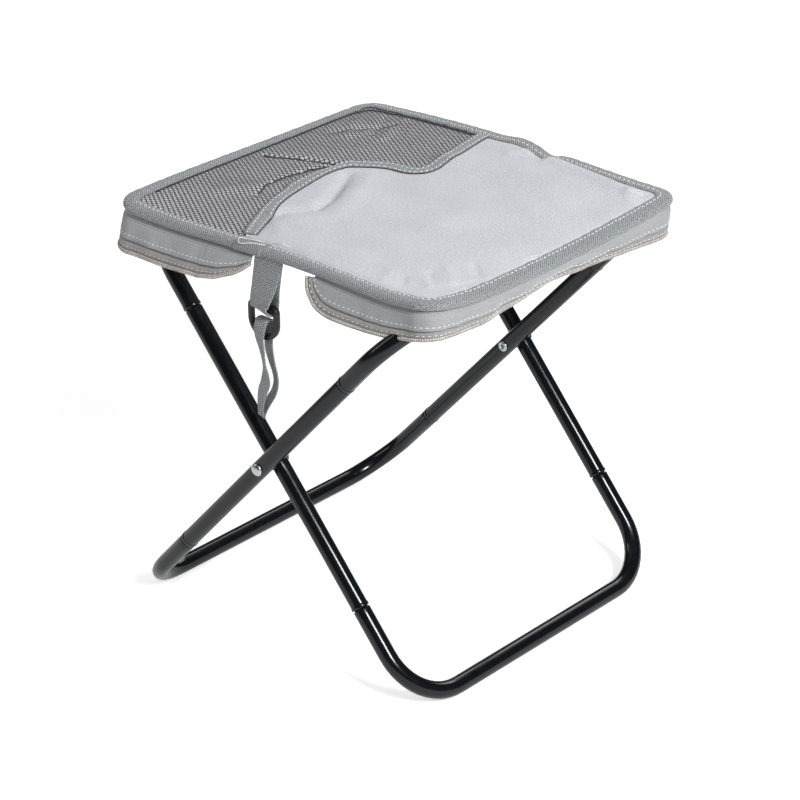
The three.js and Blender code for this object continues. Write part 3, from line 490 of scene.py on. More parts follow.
# %% [markdown]
# The seat hangs over the top bars as a flat cloth envelope. Its outline is a rectangle with
# rounded corners whose long sides are drawn in a little by the pull of the cloth. The layers
# above each other are given by the levels of their undersides and tops.

# %% Outline of the seat
half_length, half_width = 151.0, 130.5
corner_x, corner_y, corner_r, draw_in = 133.0, 112.5, 18.0, 4.0
open_inset = 12.3
lining_z, pad_z = (306.086, 306.886), (307.186, 308.386)
cover_z, panel_z = (308.686, 309.686), (310.086, 310.986)


def edge_y(x, inset=0.0):
    """Half the seat's width at x: a shallow curve between the corners, a quarter circle at them."""
    along = np.abs(x)
    straight = half_width - draw_in * (1 - np.minimum(along / corner_x, 1) ** 2) - inset
    past = np.clip(along - corner_x, 0, corner_r - inset)
    bend = corner_y + np.sqrt(np.maximum((corner_r - inset) ** 2 - past ** 2, 0))
    return np.where(along > corner_x, bend, straight)


def inwards(x, y):
    """How far a place lies inside the outline."""
    along, beside = np.abs(x) - corner_x, np.abs(y) - corner_y
    flat = np.minimum(half_length - np.abs(x), edge_y(np.minimum(np.abs(x), corner_x)) - np.abs(y))
    return np.where((along > 0) & (beside > 0), corner_r - np.hypot(along, beside), flat)


print("seat", 2 * half_length, "by", 2 * half_width, "mm")

# %% [markdown]
# Real cloth is never level, so two gentle fields are added to every layer alike. The first is
# the lift of the whole seat, read off the photo's edges at 25 places. One smooth surface of the
# fourth power in both directions goes through them. Layers that share one field can never cut
# through each other.

# %% Lift of the seat
lift_rows = np.array([
    [0.0, -2.0, 3.0, 5.6, 6.5],
    [1.0, -1.0, 1.0, 2.2, 4.2],
    [0.0, 0.0, 1.5, 2.5, 3.2],
    [-1.0, 2.5, 5.0, 5.5, 4.6],
    [-2.0, 6.5, 10.8, 9.6, 8.5]])
powers = np.vander(np.linspace(-1, 1, 5), 5)
lift_terms = np.linalg.solve(powers, np.linalg.solve(powers, lift_rows).T).T


def lift(x, y):
    """The height of the seat above its level plane: a smooth surface through measured places,
    a curl at the near right corner, and the kink where the fold meets the rear edge."""
    u = np.stack([(np.clip(x, -152, 152) / 151) ** k for k in (4, 3, 2, 1, 0)], -1)
    v = np.stack([(np.clip(y, -131, 131) / 130) ** k for k in (4, 3, 2, 1, 0)], -1)
    whole = np.einsum("...i,ij,...j->...", v, lift_terms, u)
    curl = 5.0 * np.exp(-((x - 146) ** 2 + (y + 126) ** 2) / 28.0 ** 2)
    kink = smoothstep((y - 92) / 34) * (
        2.2 * np.exp(-((x - 10) / 12) ** 2) - 3.4 * np.exp(-((x - 37) / 9) ** 2))
    return whole + curl + kink


probe = np.stack(np.meshgrid(np.linspace(-151, 151, 61), np.linspace(-130, 130, 53), indexing="ij"))
print("lift from", lift(*probe).min().round(1), "to", lift(*probe).max().round(1))

# %% [markdown]
# The second field is the pillow of the top with its creases. A crease is a soft ridge or groove
# whose height falls off like a bell with the distance from its line. The strap's pull leaves one
# long furrow in the panel, with a swelling beside it, and both bend on their way.

# %% Pillow and creases
creases = [
    (-127.7, -3.5, -96, 7.5, -2.2, 2.4), (-96, 7.5, -65.7, 17.5, -2.2, 2.4),
    (-66, -40, -58, 14, 1.4, 5.0), (-77.6, -61, -85, -38, -1.4, 2.6), (-85, -38, -82, -12, -1.4, 2.6),
    (-82, -12, -71, 12.7, -1.4, 2.6), (-90, 72, -112, 112, -1.6, 3.5), (-76, 66, -92, 108, 1.4, 4.0),
    (-104, 60, -122, 84, 1.3, 5.0), (-16, -84, 2, -76, 1.2, 6.0), (131, 106, 136, 121, -2.2, 2.6),
    (125, 112, 142, 111, 1.3, 2.2), (124, 102, 131, 118, 1.8, 3.0), (136, 104, 139, 112, 1.2, 2.4),
    (105, -81, 116, -92, -1.5, 3.2), (109, -90, 120, -99, 1.3, 3.4), (118, -52, 128, -60, -1.3, 3.0),
    (106, -68, 124, -81, 1.1, 4.0), (96, -98, 104, -108, -1.2, 3.2), (84, -96, 90, -110, 0.9, 3.4),
    (130, -84, 139, -62, -1.0, 3.4), (134, -20, 140, 0, 1.0, 3.0), (32, -112, 32, 118, -0.4, 10.0),
    (50, 107.5, 126, 104, 4.2, 7.5), (-10, 60, 40, 84, 1.9, 12.0), (30, 30, 70, 60, -1.4, 14.0),
    (60, -20, 90, 30, 1.7, 16.0), (0, -60, 50, -40, -1.5, 15.0), (20, -104, 60, -96, 1.4, 9.0),
    (74, 92, 110, 100, 1.2, 8.0), (-120, 60, -90, 96, -1.2, 5.0), (-104, -70, -80, -40, 1.0, 9.0),
    (18, 100, 30, 122, 2.0, 5.0)]
# Rows of x, y, height and half width.
furrow = np.array([
    (-31, -111, -2.0, 3.4), (-43, -85, -4.8, 4.4), (-41, -72, -5.2, 4.8), (-35, -64, -4.4, 5.2),
    (-26, -54, -3.8, 5.2), (-30, -36, -4.6, 5.2), (-40, -17, -5.0, 4.8), (-49, 1, -2.6, 4.4)])
swelling = np.array([
    (-16, -102, 0.8, 6.0), (-27, -90, 2.6, 8.0), (-25, -80, 3.0, 8.5), (-18, -72, 2.8, 8.5),
    (-9, -58, 2.6, 9.0), (-14, -34, 3.0, 9.0), (-25, -10, 3.0, 8.5), (-34, 8, 1.6, 7.0)])


def nearest_on(x, y, one, two):
    """The nearest place on the stretch from one to two, as a share of it, and the gap to it."""
    run = np.array([two[0] - one[0], two[1] - one[1]])
    share = np.clip(((x - one[0]) * run[0] + (y - one[1]) * run[1]) / (run @ run), 0, 1)
    return share, np.hypot(x - one[0] - share * run[0], y - one[1] - share * run[1])


def relief(x, y):
    """The pillow of the top, zero at the binding, with each crease as a soft ridge or groove.
    A crease runs from one place to another and has a height and a half width."""
    along = np.abs(x) / (half_length - open_inset)
    beside = np.abs(y) / edge_y(np.minimum(np.abs(x), half_length - open_inset), open_inset)
    edge = np.clip(1 - along ** 2.6, 0, 1) * np.clip(1 - beside ** 2.6, 0, 1)
    height = 5.4 * edge ** 0.8
    for x0, y0, x1, y1, rise, width in creases:
        gap = nearest_on(x, y, (x0, y0), (x1, y1))[1]
        height = height + rise * np.exp(-(gap / width) ** 2) * np.minimum(edge * 20, 1)
    for line in (furrow, swelling):
        nearest, rise, width = np.full(np.shape(x), 1e9), 0 * x, 1 + 0 * x
        for one, two in zip(line[:-1], line[1:]):
            share, gap = nearest_on(x, y, one, two)
            closer = gap < nearest
            nearest = np.where(closer, gap, nearest)
            rise = np.where(closer, one[2] + share * (two[2] - one[2]), rise)
            width = np.where(closer, one[3] + share * (two[3] - one[3]), width)
        height = height + rise * np.exp(-(nearest / width) ** 2) * np.minimum(edge * 20, 1)
    ripples = 0.22 * np.sin(x / 9 + 1.3 * np.sin(y / 17)) * np.sin(y / 11 + np.sin(x / 23))
    return np.maximum(height + ripples * np.minimum(edge * 4, 1), -0.1)


print("relief from", relief(*probe).min().round(1), "to", relief(*probe).max().round(1))

# %% [markdown]
# A layer of cloth is a closed slab. Its stations run from the middle of the seat to its end, and
# each section goes over the top and back underneath.

# %% Flat layers: lining, foam and base cloth
sides_of_seat = (("right", 1), ("left", -1))


def fold_with(piece):
    """Bakes the piece's placement into its mesh."""
    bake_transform(piece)


def slab(name, x, y, bottom, top):
    """A closed slab over a grid of places, in millimetres. bottom and top are its heights."""
    upper = np.stack([x, y, top], -1)
    lower = np.stack([x, y, bottom], -1)[:, ::-1]
    lengths = np.concatenate([np.stack([x, y], -1), np.stack([x, y], -1)[:, ::-1]], 1)
    return surface(name, np.concatenate([upper, lower], 1), lengths=lengths)


def half_grid(side, inset, step):
    """Places over half the seat: x from the middle to the end, y as equal shares of the width."""
    straight = np.linspace(0, corner_x, int(corner_x / step) + 1)
    bend = corner_x + (corner_r - inset) * np.sin(np.linspace(0, math.pi / 2, 9)[1:])
    x = np.r_[straight, bend][:, None]
    share = np.linspace(-1, 1, int(2 * half_width / step) + 1)[None, :]
    return side * x + 0 * share, share * edge_y(x, inset)


def area_of(x, y):
    """The flat area of a grid of places, in square metres: half the product of the two diagonals
    of each cell."""
    places = np.stack([x, y], -1)
    a = places[1:, 1:] - places[:-1, :-1]
    b = places[1:, :-1] - places[:-1, 1:]
    return float(np.abs(a[..., 0] * b[..., 1] - a[..., 1] * b[..., 0]).sum() / 2 * mm * mm)


for place, side in sides_of_seat:
    x, y = half_grid(side, 3.0, 4.0)
    up, puff = lift(x, y), relief(x, y)
    lining = slab(f"lining_sheet_{place}", x, y, lining_z[0] + up, lining_z[1] + up)
    pad = slab(f"foam_{place}", x, y, pad_z[0] + up, pad_z[1] + up + puff)
    x, y = half_grid(side, 3.0, 2.5)
    up, puff = lift(x, y), relief(x, y)
    cover = slab(f"base_sheet_{place}", x, y, cover_z[0] + up + puff, cover_z[1] + up + puff)
    for piece, kind, finish, slot in (
            (lining, "lining", lining_cloth, "lining"), (pad, "pad", foam_sheet, "foam"),
            (cover, "cover", base_cloth, "base_cloth")):
        fold_with(piece)
        spine = [f"{kind}_spine"] if side < 0 else []
        dressed(piece, finish, slot, f"{kind}_{place}", *spine)
print("layers made, cloth area of one half", round(area_of(x, y), 4), "square metres")

# %% [markdown]
# The pocket is a light panel of Oxford cloth laid over the right side and part of the left, and
# its free edge runs in a curve from the front to the rear. The panel tucks under the binding all
# round, so it thins and dips there. On the left half it starts at the curve.

# %% The pocket panel
edge_points = np.array([
    (-36.2, -114), (-57.4, -68.6), (-66.4, -26), (-63.4, 11.8), (-39.3, 31.3), (-15.1, 36.7), (-11.3, 53.2),
    (-18.1, 85.1), (-24.2, 118.2)])


def spline(points, count):
    """A Catmull-Rom curve through the points: each stretch is a cubic whose end slopes follow
    the neighbours. Sampled at even lengths."""
    ends = np.vstack([2 * points[0] - points[1], points, 2 * points[-1] - points[-2]])
    t = np.linspace(0, 1, 60, endpoint=False)[:, None]
    parts = []
    for a, b, c, d in zip(ends[:-3], ends[1:-2], ends[2:-1], ends[3:]):
        parts.append(0.5 * (2 * b + (c - a) * t + (2 * a - 5 * b + 4 * c - d) * t ** 2
                            + (3 * b - a - 3 * c + d) * t ** 3))
    return evenly(np.vstack(parts + [points[-1:]]), count)


def evenly(path, count):
    """The same path with count places at even lengths along it."""
    gone = np.r_[0, np.cumsum(np.linalg.norm(np.diff(path, axis=0), axis=1))]
    at = np.linspace(0, gone[-1], count)
    return np.stack([np.interp(at, gone, path[:, k]) for k in range(path.shape[1])], -1)


pocket_edge = spline(edge_points, 400)


def pocket_x(y):
    """Where the pocket's free edge lies at a place across the seat."""
    return np.interp(y, pocket_edge[:, 1], pocket_edge[:, 0])


tucked_z, net_z = (309.74, 309.92), (309.8, 310.2)
tuck_inset, tuck_run = 11.2, 3.4


def tucked(x, y, low, high):
    """The height of something that lies on the base cloth and dips under the binding's edge."""
    return low + (high - low) * smoothstep((inwards(x, y) - tuck_inset) / tuck_run)


def panel(name, x, y):
    """Where the two halves meet, the left one reaches a hair's breadth under the right one."""
    up = lift(x, y) + relief(x, y)
    if x.mean() < 0:
        up = up - 0.03 * (x > -0.04)
    bottom, top = (tucked(x, y, low, high) + up for low, high in zip(tucked_z, panel_z))
    return slab(name, x, y, bottom, top)


# A narrow first row keeps the shade of the right half's end off its top.
panel_inset, narrow = 9.5, 0.05
x, y = half_grid(1, panel_inset, 1.6)
x, y = np.insert(x, 1, x[0] + narrow, axis=0), np.insert(y, 1, y[0], axis=0)
panel_right = panel("pocket_sheet_right", x, y)
right_area = area_of(x, y)
share = np.linspace(-1, 1, 164)[:, None]
across = np.linspace(0, 1, 44)[None, :-1]
start = pocket_x(share * edge_y(40.0, panel_inset)) + 1.0
x = np.hstack([start * (1 - across), 0 * start - 0.08, 0 * start, 0 * start + 0.6])
y = share * edge_y(x, panel_inset)
panel_left = panel("pocket_sheet_left", x, y)
for piece, place, side, nodes, area, flat in (
        (panel_right, "right", 1, ["pocket_panel_right"], right_area, (0.1415, 0.242)),
        (panel_left, "left", -1, ["pocket_panel_left", "pocket_panel_spine"], area_of(x, y), (0.066, 0.242))):
    fold_with(piece)
    dressed(piece, light_cloth, "light_cloth", *nodes)
print("panel area", round(right_area, 4), round(area_of(x, y), 4))

# %% [markdown]
# The net is knitted from one dark yarn, so its openings stand on their corners in staggered
# rows, 4.8 mm by 4 mm. Each opening is drawn as a rounded hole with a sloping rim. Neighbours
# share the crest between them, which gives one closed sheet of netting.

# %% The net
cell_along, cell_across, net_turn = 4.8, 4.0, math.radians(8)


def turned_by(angle):
    """The matrix that turns rows of places by an angle."""
    return np.array([[math.cos(angle), math.sin(angle)], [-math.sin(angle), math.cos(angle)]])


def netting(name, centres, height, crest=0.16, opening=0.75):
    """Cells at centres (n, 2). Every cell has a crest ring through its corners, above and below,
    and an opening ring at half height. Corners that fall together are joined."""
    angles = np.arange(8) * math.pi / 4
    corner = np.array([1.0, 0.5] * 4)
    outer = np.stack([np.cos(angles), np.sin(angles)], -1)
    outer = np.where(np.arange(8)[:, None] % 2 == 0, outer, np.sign(outer) * 0.5)
    inner = np.stack([np.cos(angles), np.sin(angles)], -1)
    inner = inner * np.where(corner == 1, opening, opening * 0.82)[:, None]
    scale = np.array([cell_along / 2, cell_across / 2])
    rings = []
    for shape, z in ((outer, crest), (inner, 0.0), (outer, -crest)):
        flat = centres[:, None] + (shape * scale) @ turned_by(net_turn)
        rings.append(np.concatenate([flat, np.full(flat.shape[:2] + (1,), z)], -1))
    points = np.stack(rings, 1).reshape(-1, 3)
    first, same = np.unique(np.round(points, 2), axis=0, return_index=True, return_inverse=True)[1:]
    same = same.reshape(len(centres), 3, 8)
    points = points[first]
    following = np.roll(same, -1, axis=2)
    faces = [np.stack([same[:, 0], following[:, 0], following[:, 1], same[:, 1]], -1),
             np.stack([same[:, 1], following[:, 1], following[:, 2], same[:, 2]], -1)]
    edges = np.stack([same[:, 0], following[:, 0]], -1).reshape(-1, 2)
    below = np.stack([same[:, 2], following[:, 2]], -1).reshape(-1, 2)
    tags = np.sort(edges, 1)
    back, count = np.unique(tags, axis=0, return_inverse=True, return_counts=True)[1:]
    rim = count[back.reshape(-1)] == 1
    faces.append(np.stack([edges[rim, 1], edges[rim, 0], below[rim, 0], below[rim, 1]], -1))
    places = points.copy()
    places[:, 2] += height(points[:, 0], points[:, 1])
    faces = np.concatenate([f.reshape(-1, 4) for f in faces]).tolist()
    return built(name, places, faces, points[:, :2])


def net_height(x, y):
    """The net lies on the base cloth beside the panel and follows the same lift and relief."""
    return tucked(x, y, *net_z) + lift(x, y) + relief(x, y)


rows, columns = np.meshgrid(np.arange(-90, 91), np.arange(-40, 41), indexing="ij")
lattice = np.stack([(columns + (rows % 2) / 2) * cell_along, rows * cell_across / 2], -1).reshape(-1, 2)
lattice = lattice @ turned_by(net_turn)
inside = inwards(lattice[:, 0], lattice[:, 1]) > 9.0
inside &= (lattice[:, 0] < pocket_x(lattice[:, 1]) + 0.6) & (lattice[:, 0] < -10)
net = netting("knitted_net", lattice[inside], net_height)
fold_with(net)
dressed(net, net_yarn, "net", "net_left", "net_spine")
print("net cells", int(inside.sum()), "faces", len(net.data.polygons))

# %% [markdown]
# Where the net lies double along a crease, its yarn shows as a dark line. Along the binding's
# inner edge a dark cord is painted shade, the shadow in the gap under the binding. Each line is a
# thin flat cord that lies on the net.

# %% Crease lines of the net, and painted shade along its hem
# The cord along the binding's inner edge is painted shade for the gap under the binding.
binding_gap_shade_rows = [
    (-28, 112), (-60, 112.5), (-100, 114), (-128, 112), (-134, 104), (-137.5, 90), (-138, 40), (-138, -40),
    (-138.3, -90), (-138.0, -100)]
net_lines = (
    ("crease_long", [(-128, -3), (-96, 8), (-80, 12.5), (-64.5, 18)], 0.75),
    ("crease_short", [(-79, -57), (-85, -38), (-82, -12), (-70, 13)], 0.6),
    ("hem_painted_shade", binding_gap_shade_rows, 0.8))
for label, places, thick in net_lines:
    path = spline(np.array(places, float), 160)
    forward = heading(path)
    centre = np.column_stack([path, net_height(path[:, 0], path[:, 1]) + 0.35])
    ways = np.column_stack([forward[:, 1], -forward[:, 0], 0 * path[:, 0]])
    piece = carried(f"net_{label}", centre, ways, up_way, *oval(8, thick, 0.4))
    fold_with(piece)
    dressed(piece, doubled_net_and_painted_shade, "net")
print("lines on the net:", [label for label, places, thick in net_lines])

# %% [markdown]
# Grosgrain tape binds every raw edge. Round the outline it is folded over all the layers like a
# long hairpin, and its section is carried along the outline. The tape is tighter than the cloth,
# so it puckers a little: its width and height wander along its run.

# %% Binding round the outline
def outline(side):
    """The outline of half the seat from the middle of the front to the middle of the rear, with
    the way outwards at each place."""
    x = np.linspace(0, corner_x, 90)
    angle = np.linspace(0, math.pi / 2, 16)[1:]
    front = np.stack([x, -edge_y(x)], -1)
    bend = np.stack([corner_x + corner_r * np.sin(angle), -corner_y - corner_r * np.cos(angle)], -1)
    end = np.stack([np.full(78, half_length), np.linspace(-corner_y, 0, 79)[1:]], -1)
    half = np.vstack([front, bend, end])
    path = evenly(np.vstack([half, half[::-1][1:] * [1, -1]]), 520)
    way = heading(path)
    out = np.stack([way[:, 1], -way[:, 0]], -1)
    out[0], out[-1] = (0, -1), (0, 1)
    return path * [side, 1], out * [side, 1]


binding_section = np.array([
    (-12.1, 310.3), (-12.4, 310.75), (-12.1, 311.15), (-10.5, 311.35), (-8, 311.4), (-5, 311.25),
    (-2.6, 310.7), (-1.0, 309.8), (-0.1, 308.6), (0.1, 307.7), (-0.1, 306.7), (-0.9, 305.6),
    (-2.4, 304.95), (-5, 304.75), (-9, 304.7), (-11.8, 304.8), (-12.3, 305.1), (-12.0, 305.5),
    (-9, 305.75), (-3.4, 306.0), (-2.2, 307.0), (-2.1, 308.2), (-2.8, 309.4), (-4.4, 309.95),
    (-8, 310.15)])


def stray(run, length, seed):
    """A smooth wander between -1 and 1, made of three waves that never line up."""
    return sum(np.sin(run * 2 * math.pi / length * k + seed * (k + 1.7)) for k in (1.0, 1.618, 2.414)) / 3


def laid(path, out, depth, height, puffed=False):
    """A section laid along a plan path: each corner lies depth further out, at its height plus
    the lift of the seat, and plus the relief where it lies on the top."""
    flat = path[:, None] + out[:, None] * depth[..., None]
    height = height + lift(flat[..., 0], flat[..., 1])
    if puffed:
        height = height + relief(flat[..., 0], flat[..., 1])
    return np.concatenate([flat, height[..., None]], -1)


bound_edges = {}
for place, side in sides_of_seat:
    path, out = outline(side)
    run = np.linspace(0, 1, len(path)) * length_of(path)
    fade = np.minimum(np.minimum(run, run[-1] - run) / 20, 1)[:, None]
    depth, height = binding_section.T
    wide = np.interp(run, [0, 90, 122, 150, 200, 300], [0.84, 0.84, 0.96, 1.0, 1.0, 1.0])[:, None]
    depth = depth[None, :] * (wide + 0.035 * fade * stray(run, 23, side)[:, None])
    height = height[None, :] + 0.22 * fade * stray(run, 17, 2 + side)[:, None] * (height > 308)[None, :]
    points = laid(path, out, depth, height)
    piece = surface(f"binding_band_{place}", points)
    fold_with(piece)
    dressed(piece, binding_tape, "tape", f"binding_{place}",
            "binding_spine_front" if side > 0 else "binding_spine_rear")
    bound_edges[place] = points[:, 3] * 0.25 + points[:, 4] * 0.75
print("bound edge of one half", round(float(run[-1])), "mm")

# %% [markdown]
# The same tape runs over the pocket's free edge as a flat band. It follows the curve of the
# pocket, lies on the panel and the net, and dips where the binding covers its two ends.

# %% Tape on the pocket's edge
tape_path = pocket_edge[3:-3]
way = heading(tape_path)
beside = np.stack([way[:, 1], -way[:, 0]], -1)
tape_section = np.array([
    (-1.5, 310.9), (-1.6, 311.5), (-1.1, 312.0), (0.2, 312.25), (3, 312.2), (6, 312.2), (7.6, 312.05),
    (8.1, 311.7), (7.9, 311.35), (6, 311.3), (3, 311.3), (0.6, 311.2), (-0.4, 310.9), (-0.9, 310.6)])
points = laid(tape_path, beside, tape_section[None, :, 0], tape_section[None, :, 1], puffed=True)
dip = 1.2 * (1 - smoothstep((inwards(tape_path[:, 0], tape_path[:, 1]) - 9) / 5))
points[..., 2] -= dip[:, None]
pocket_tape = surface("pocket_tape", points)
fold_with(pocket_tape)
dressed(pocket_tape, binding_tape, "tape", "pocket_edge_left", "pocket_edge_spine")


def beside_tape(across, level):
    """Places along the pocket's edge, moved across the tape, at a level above the seat's plane."""
    flat = tape_path + beside * across
    height = level + lift(flat[:, 0], flat[:, 1]) + relief(flat[:, 0], flat[:, 1]) - dip
    return np.column_stack([flat, height])


# A thin dark cord beside the tape, on the panel's side, is a painted shadow along the tape's edge.
centre = beside_tape(8.4, 311.15)
flat_ways = np.column_stack([beside, 0 * way[:, 0]])
tape_edge_shadow = carried("pocket_tape_painted_shadow", centre, flat_ways, up_way, *oval(40, 0.42, 0.3))
fold_with(tape_edge_shadow)
dressed(tape_edge_shadow, doubled_net_and_painted_shade, "net")
print("pocket tape made,", round(float(length_of(tape_path))), "mm")

# %% [markdown]
# The binding is one long tape, and its two ends overlap at the front, beside the strap. The
# overlap is a second turn of tape over the first, a little wider. The seam starts and ends
# there, so some thread ends are left standing.

# %% Overlap of the binding, with its loose thread ends
path, out = outline(-1)
run = np.linspace(0, 1, len(path)) * length_of(path)
held = (run > 8) & (run < 35)
path, out, run = path[held], out[held], run[held]
swell = 0.75 + 0.2 * stray(run, 6, 1)
swell[0] = swell[-1] = 0.35
around_tape = binding_section[:13]
way_out = unit(around_tape - np.array([-6.0, 308.0]))
grown = around_tape[None] + way_out[None] * swell[:, None, None]
inner_turn = np.repeat(around_tape[None, ::-1] + way_out[None, ::-1] * 0.05, len(run), 0)
section = np.concatenate([grown, inner_turn], 1)
section[..., 0] *= 0.9
overlap = surface("binding_overlap", laid(path, out, section[..., 0], section[..., 1]))
fold_with(overlap)
dressed(overlap, binding_tape, "tape")
ends = np.array([
    [(-14, -116.5, 311.9), (-22, -121, 313.8), (-30, -121.5, 312.6), (-36, -119, 311.9)],
    [(-12, -119.5, 311.9), (-8, -123, 313.6), (-15, -125.5, 314.0), (-24, -124.5, 312.0)],
    [(-8, -113, 312.2), (0, -112.5, 314.4), (4, -116, 315.0), (9, -114.5, 313.4)],
    [(-26, -118, 311.9), (-31, -123.5, 313.6), (-27, -127, 311.8), (-20, -123, 311.9)]], dtype=float)
for number, points in enumerate(ends, 1):
    line = spline(points, 40)
    line[:, 2] += lift(line[:, 0], line[:, 1])
    forward = heading(line)
    side_way = unit(np.cross(forward, up_way))
    wisp = carried(f"loose_thread_{number}", line, side_way, np.cross(side_way, forward),
                   *oval(6, 0.26, 0.26))
    wisp.data.materials.append(thread)
    fold_with(wisp)
print("overlap made")

# %% [markdown]
# Below the binding the pouch has a soft side wall, a gusset, with a zip along its lower edge.
# The wall starts beside the spine in a quarter round, follows the outline round the end and
# comes back on the other side. It leans out along the front and rear, and the zip pulls it in
# under the seat in the middle of the end. The lean is a list of values along the wall.

# %% The line of a side wall
wall_top, wall_inset, cloth_depth = 304.486, 1.3, 14.0
full_depth = 21.9
by_strap, by_wall, run_from = 16.0, 60.6, 34.0
wall_starts = {"right": ((66.0, 32.0), (66.0, 32.0)), "left": ((60.0, 0.0), (66.0, 32.0))}
walls = (("right", 1), ("left", -1), ("left_front", -1))
lean_places = np.array([0, 40, 80, 100, 114, 128, 168, 205, 240, 280, 318, 353, 367, 381, 440, 481])
leans = {
    "right": np.array([6, 4, 1, -2, -3.5, -4.5, -7, -11.5, -14.5, -12.5, -8.5, -4, -2, 0, 7, 8]),
    "left": np.array([9, 10, 9, 7, 5, 3, -1, -3, -4, -3, -1, 3, 5, 7, 9, 8])}
drops = {
    "right": np.array([1, 1, 0.97, 0.92, 0.9, 0.9, 0.95, 1, 1, 1, 1, 1, 1, 1, 1, 1]),
    "left": np.array([1, 1.05, 1.14, 1.27, 1.3, 1.26, 1.14, 1, 1, 1, 1, 1, 1, 1, 1, 1])}


def wall_path(place):
    """Plan places along the top of a wall, the way outwards, the length so far, the angle whose
    sine is the share of the full depth, and the radius of the round at each end. The short wall
    at the left front runs on to the strap and gets lower on its way."""
    path, out = outline(1)
    if place == "left_front":
        near = (path[:, 1] < 0) & (path[:, 0] >= by_strap) & (path[:, 0] <= by_wall)
        path, out = path[near], out[near]
        tall = np.interp(path[:, 0], [16, 22, 29, 44, 60], [0.22, 0.45, 0.66, 0.9, 1.0])
        run = path[:, 0] - run_from
        return path[:, 0], path[:, 1], out, np.arcsin(tall), path[:, 1] < 0, run, 0 * tall
    (start_front, round_front), (start_rear, round_rear) = wall_starts[place]
    beyond = path[:, 0] >= np.where(path[:, 1] < 0, start_front, start_rear)
    path, out = path[beyond], out[beyond]
    turns = np.linspace(math.radians(4), math.pi / 2, 16)[:-1]
    begin_turns = turns if round_front else turns[:0]
    fore = len(begin_turns)
    x = np.r_[[start_front] * fore, path[:, 0], [start_rear] * 15]
    y = np.r_[[path[0, 1]] * fore, path[:, 1], [path[-1, 1]] * 15]
    angle = np.r_[begin_turns, [math.pi / 2] * len(path), turns[::-1]]
    front = np.arange(len(x)) < len(x) / 2
    ways = np.vstack([np.tile(out[0], (fore, 1)), out, np.tile(out[-1], (15, 1))])
    before = start_front - run_from
    gone = np.r_[0, np.cumsum(np.linalg.norm(np.diff(path, axis=0), axis=1))] + before
    run_in = np.linspace(before - round_front, before - 1, fore)
    run = np.r_[run_in, gone, gone[-1] + np.linspace(1, round_rear, 15)]
    return x, y, ways, angle, front, run, np.where(front, round_front, round_rear)


for place, side in walls:
    print(place, "wall starts at x", wall_path(place)[0][0].round(1))

# %% [markdown]
# The walls themselves are grids: places along the line by depths below the binding. The cloth
# keeps its height, so where the zip pulls it in under the seat it hangs less far down.


# %% Side walls
def on_wall(place, depth, out=0.0, cloth=False):
    """Places on a half's wall at a depth below the binding, moved outwards by out. The wall
    keeps its height along the cloth: what leans sideways is taken off the drop. Its top edge is
    sewn in between the two lips of the binding."""
    side = dict(walls)[place]
    half = "right" if side > 0 else "left"
    x, y, ways, angle, front, run, rounding = wall_path(place)
    reach = np.maximum(rounding - (full_depth - (cloth_depth if cloth else depth)), 0)
    rounded = angle < math.pi / 2
    x = np.where(rounded, x - reach * np.cos(angle), x)
    y = np.where(rounded, np.where(front, -1, 1) * edge_y(x), y)
    here = depth * np.sin(angle)
    share = here / full_depth
    straight = np.where(np.abs(ways[:, 1]) > 0.99, half_width - edge_y(x), 0) * share
    lean = straight + np.interp(run, lean_places, leans[half]) * share ** 1.15
    wander = 0.9 * stray(run, 84, 1 + side) + 0.35 * stray(run, 31, 3 + side)
    lean = lean + wander * np.sin(share * math.pi * 0.9)
    drop = np.interp(run, lean_places, drops[half]) * here
    drop = np.sqrt(np.maximum(drop ** 2 - np.minimum(lean, 0) ** 2, 0))
    sway = 0.35 * stray(run, 90, 5 + side) * share
    sewn_in = 1 - smoothstep(depth / 4.2)
    sideways = (lean + out - wall_inset - 3.2 * sewn_in)[:, None]
    flat = np.stack([x, y], -1) + ways * sideways
    level = np.interp(run, [310, 370], [0.25, 0.95 if side < 0 else 0.4])
    z = wall_top + 0.75 * sewn_in - drop - sway + lift(side * x, y) * (1 - level * share)
    return np.stack([side * flat[:, 0], flat[:, 1], z], -1), ways * [side, 1], run


def hang(piece, place):
    """Bakes the piece's placement into its mesh, through fold_with for the short wall."""
    if place == "left_front":
        fold_with(piece)
    else:
        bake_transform(piece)


def stands_for(place, *kinds):
    """The solids of a half that a wall or a zip takes the place of. The short wall has none."""
    return [] if place == "left_front" else [kind.format(place) for kind in kinds]


gusset_long = {"right": 0.481, "left": 0.455, "left_front": 0.044}
for place, side in walls:
    depths = np.linspace(0, cloth_depth, 13)
    outer = np.stack([on_wall(place, d, 0.5, cloth=True)[0] for d in depths], 1)
    inner = np.stack([on_wall(place, d, -0.5, cloth=True)[0] for d in depths], 1)[:, ::-1]
    run = on_wall(place, 0.0)[2]
    across = np.r_[depths, depths[::-1]]
    lengths = np.stack(np.broadcast_arrays(run[:, None], across[None, :]), -1)
    gusset = surface(f"gusset_{place}", np.concatenate([outer, inner], 1), lengths=lengths)
    hang(gusset, place)
    dressed(gusset, wall_cloth, "wall_cloth", *stands_for(
        place, "front_wall_{0}", "rear_wall_{0}", "end_wall_{0}", "corner_wall_{0}_front",
        "corner_wall_{0}_rear"))
    long = gusset_long[place]
    area = 0.0005 if place == "left_front" else 0.0137 * long
print("walls made, run", round(float(run[-1])), "mm")

# %% [markdown]
# A coil zip is two cloth tapes, each with a polyester spiral along its edge. What shows below the
# wall is drawn here: the tape is a flat band, and the spiral is a cord whose radius swells once
# for each turn, every 1.7 mm, which is what an eye sees of it at arm's length.

# %% Zip tapes and coils
def along_wall(place, depth, out, count):
    """Evenly spaced places along the wall at one depth, with the ways outwards."""
    points, ways, run = on_wall(place, depth, out)
    both = evenly(np.hstack([points, ways]), count)
    return both[:, :3], unit(both[:, 3:])


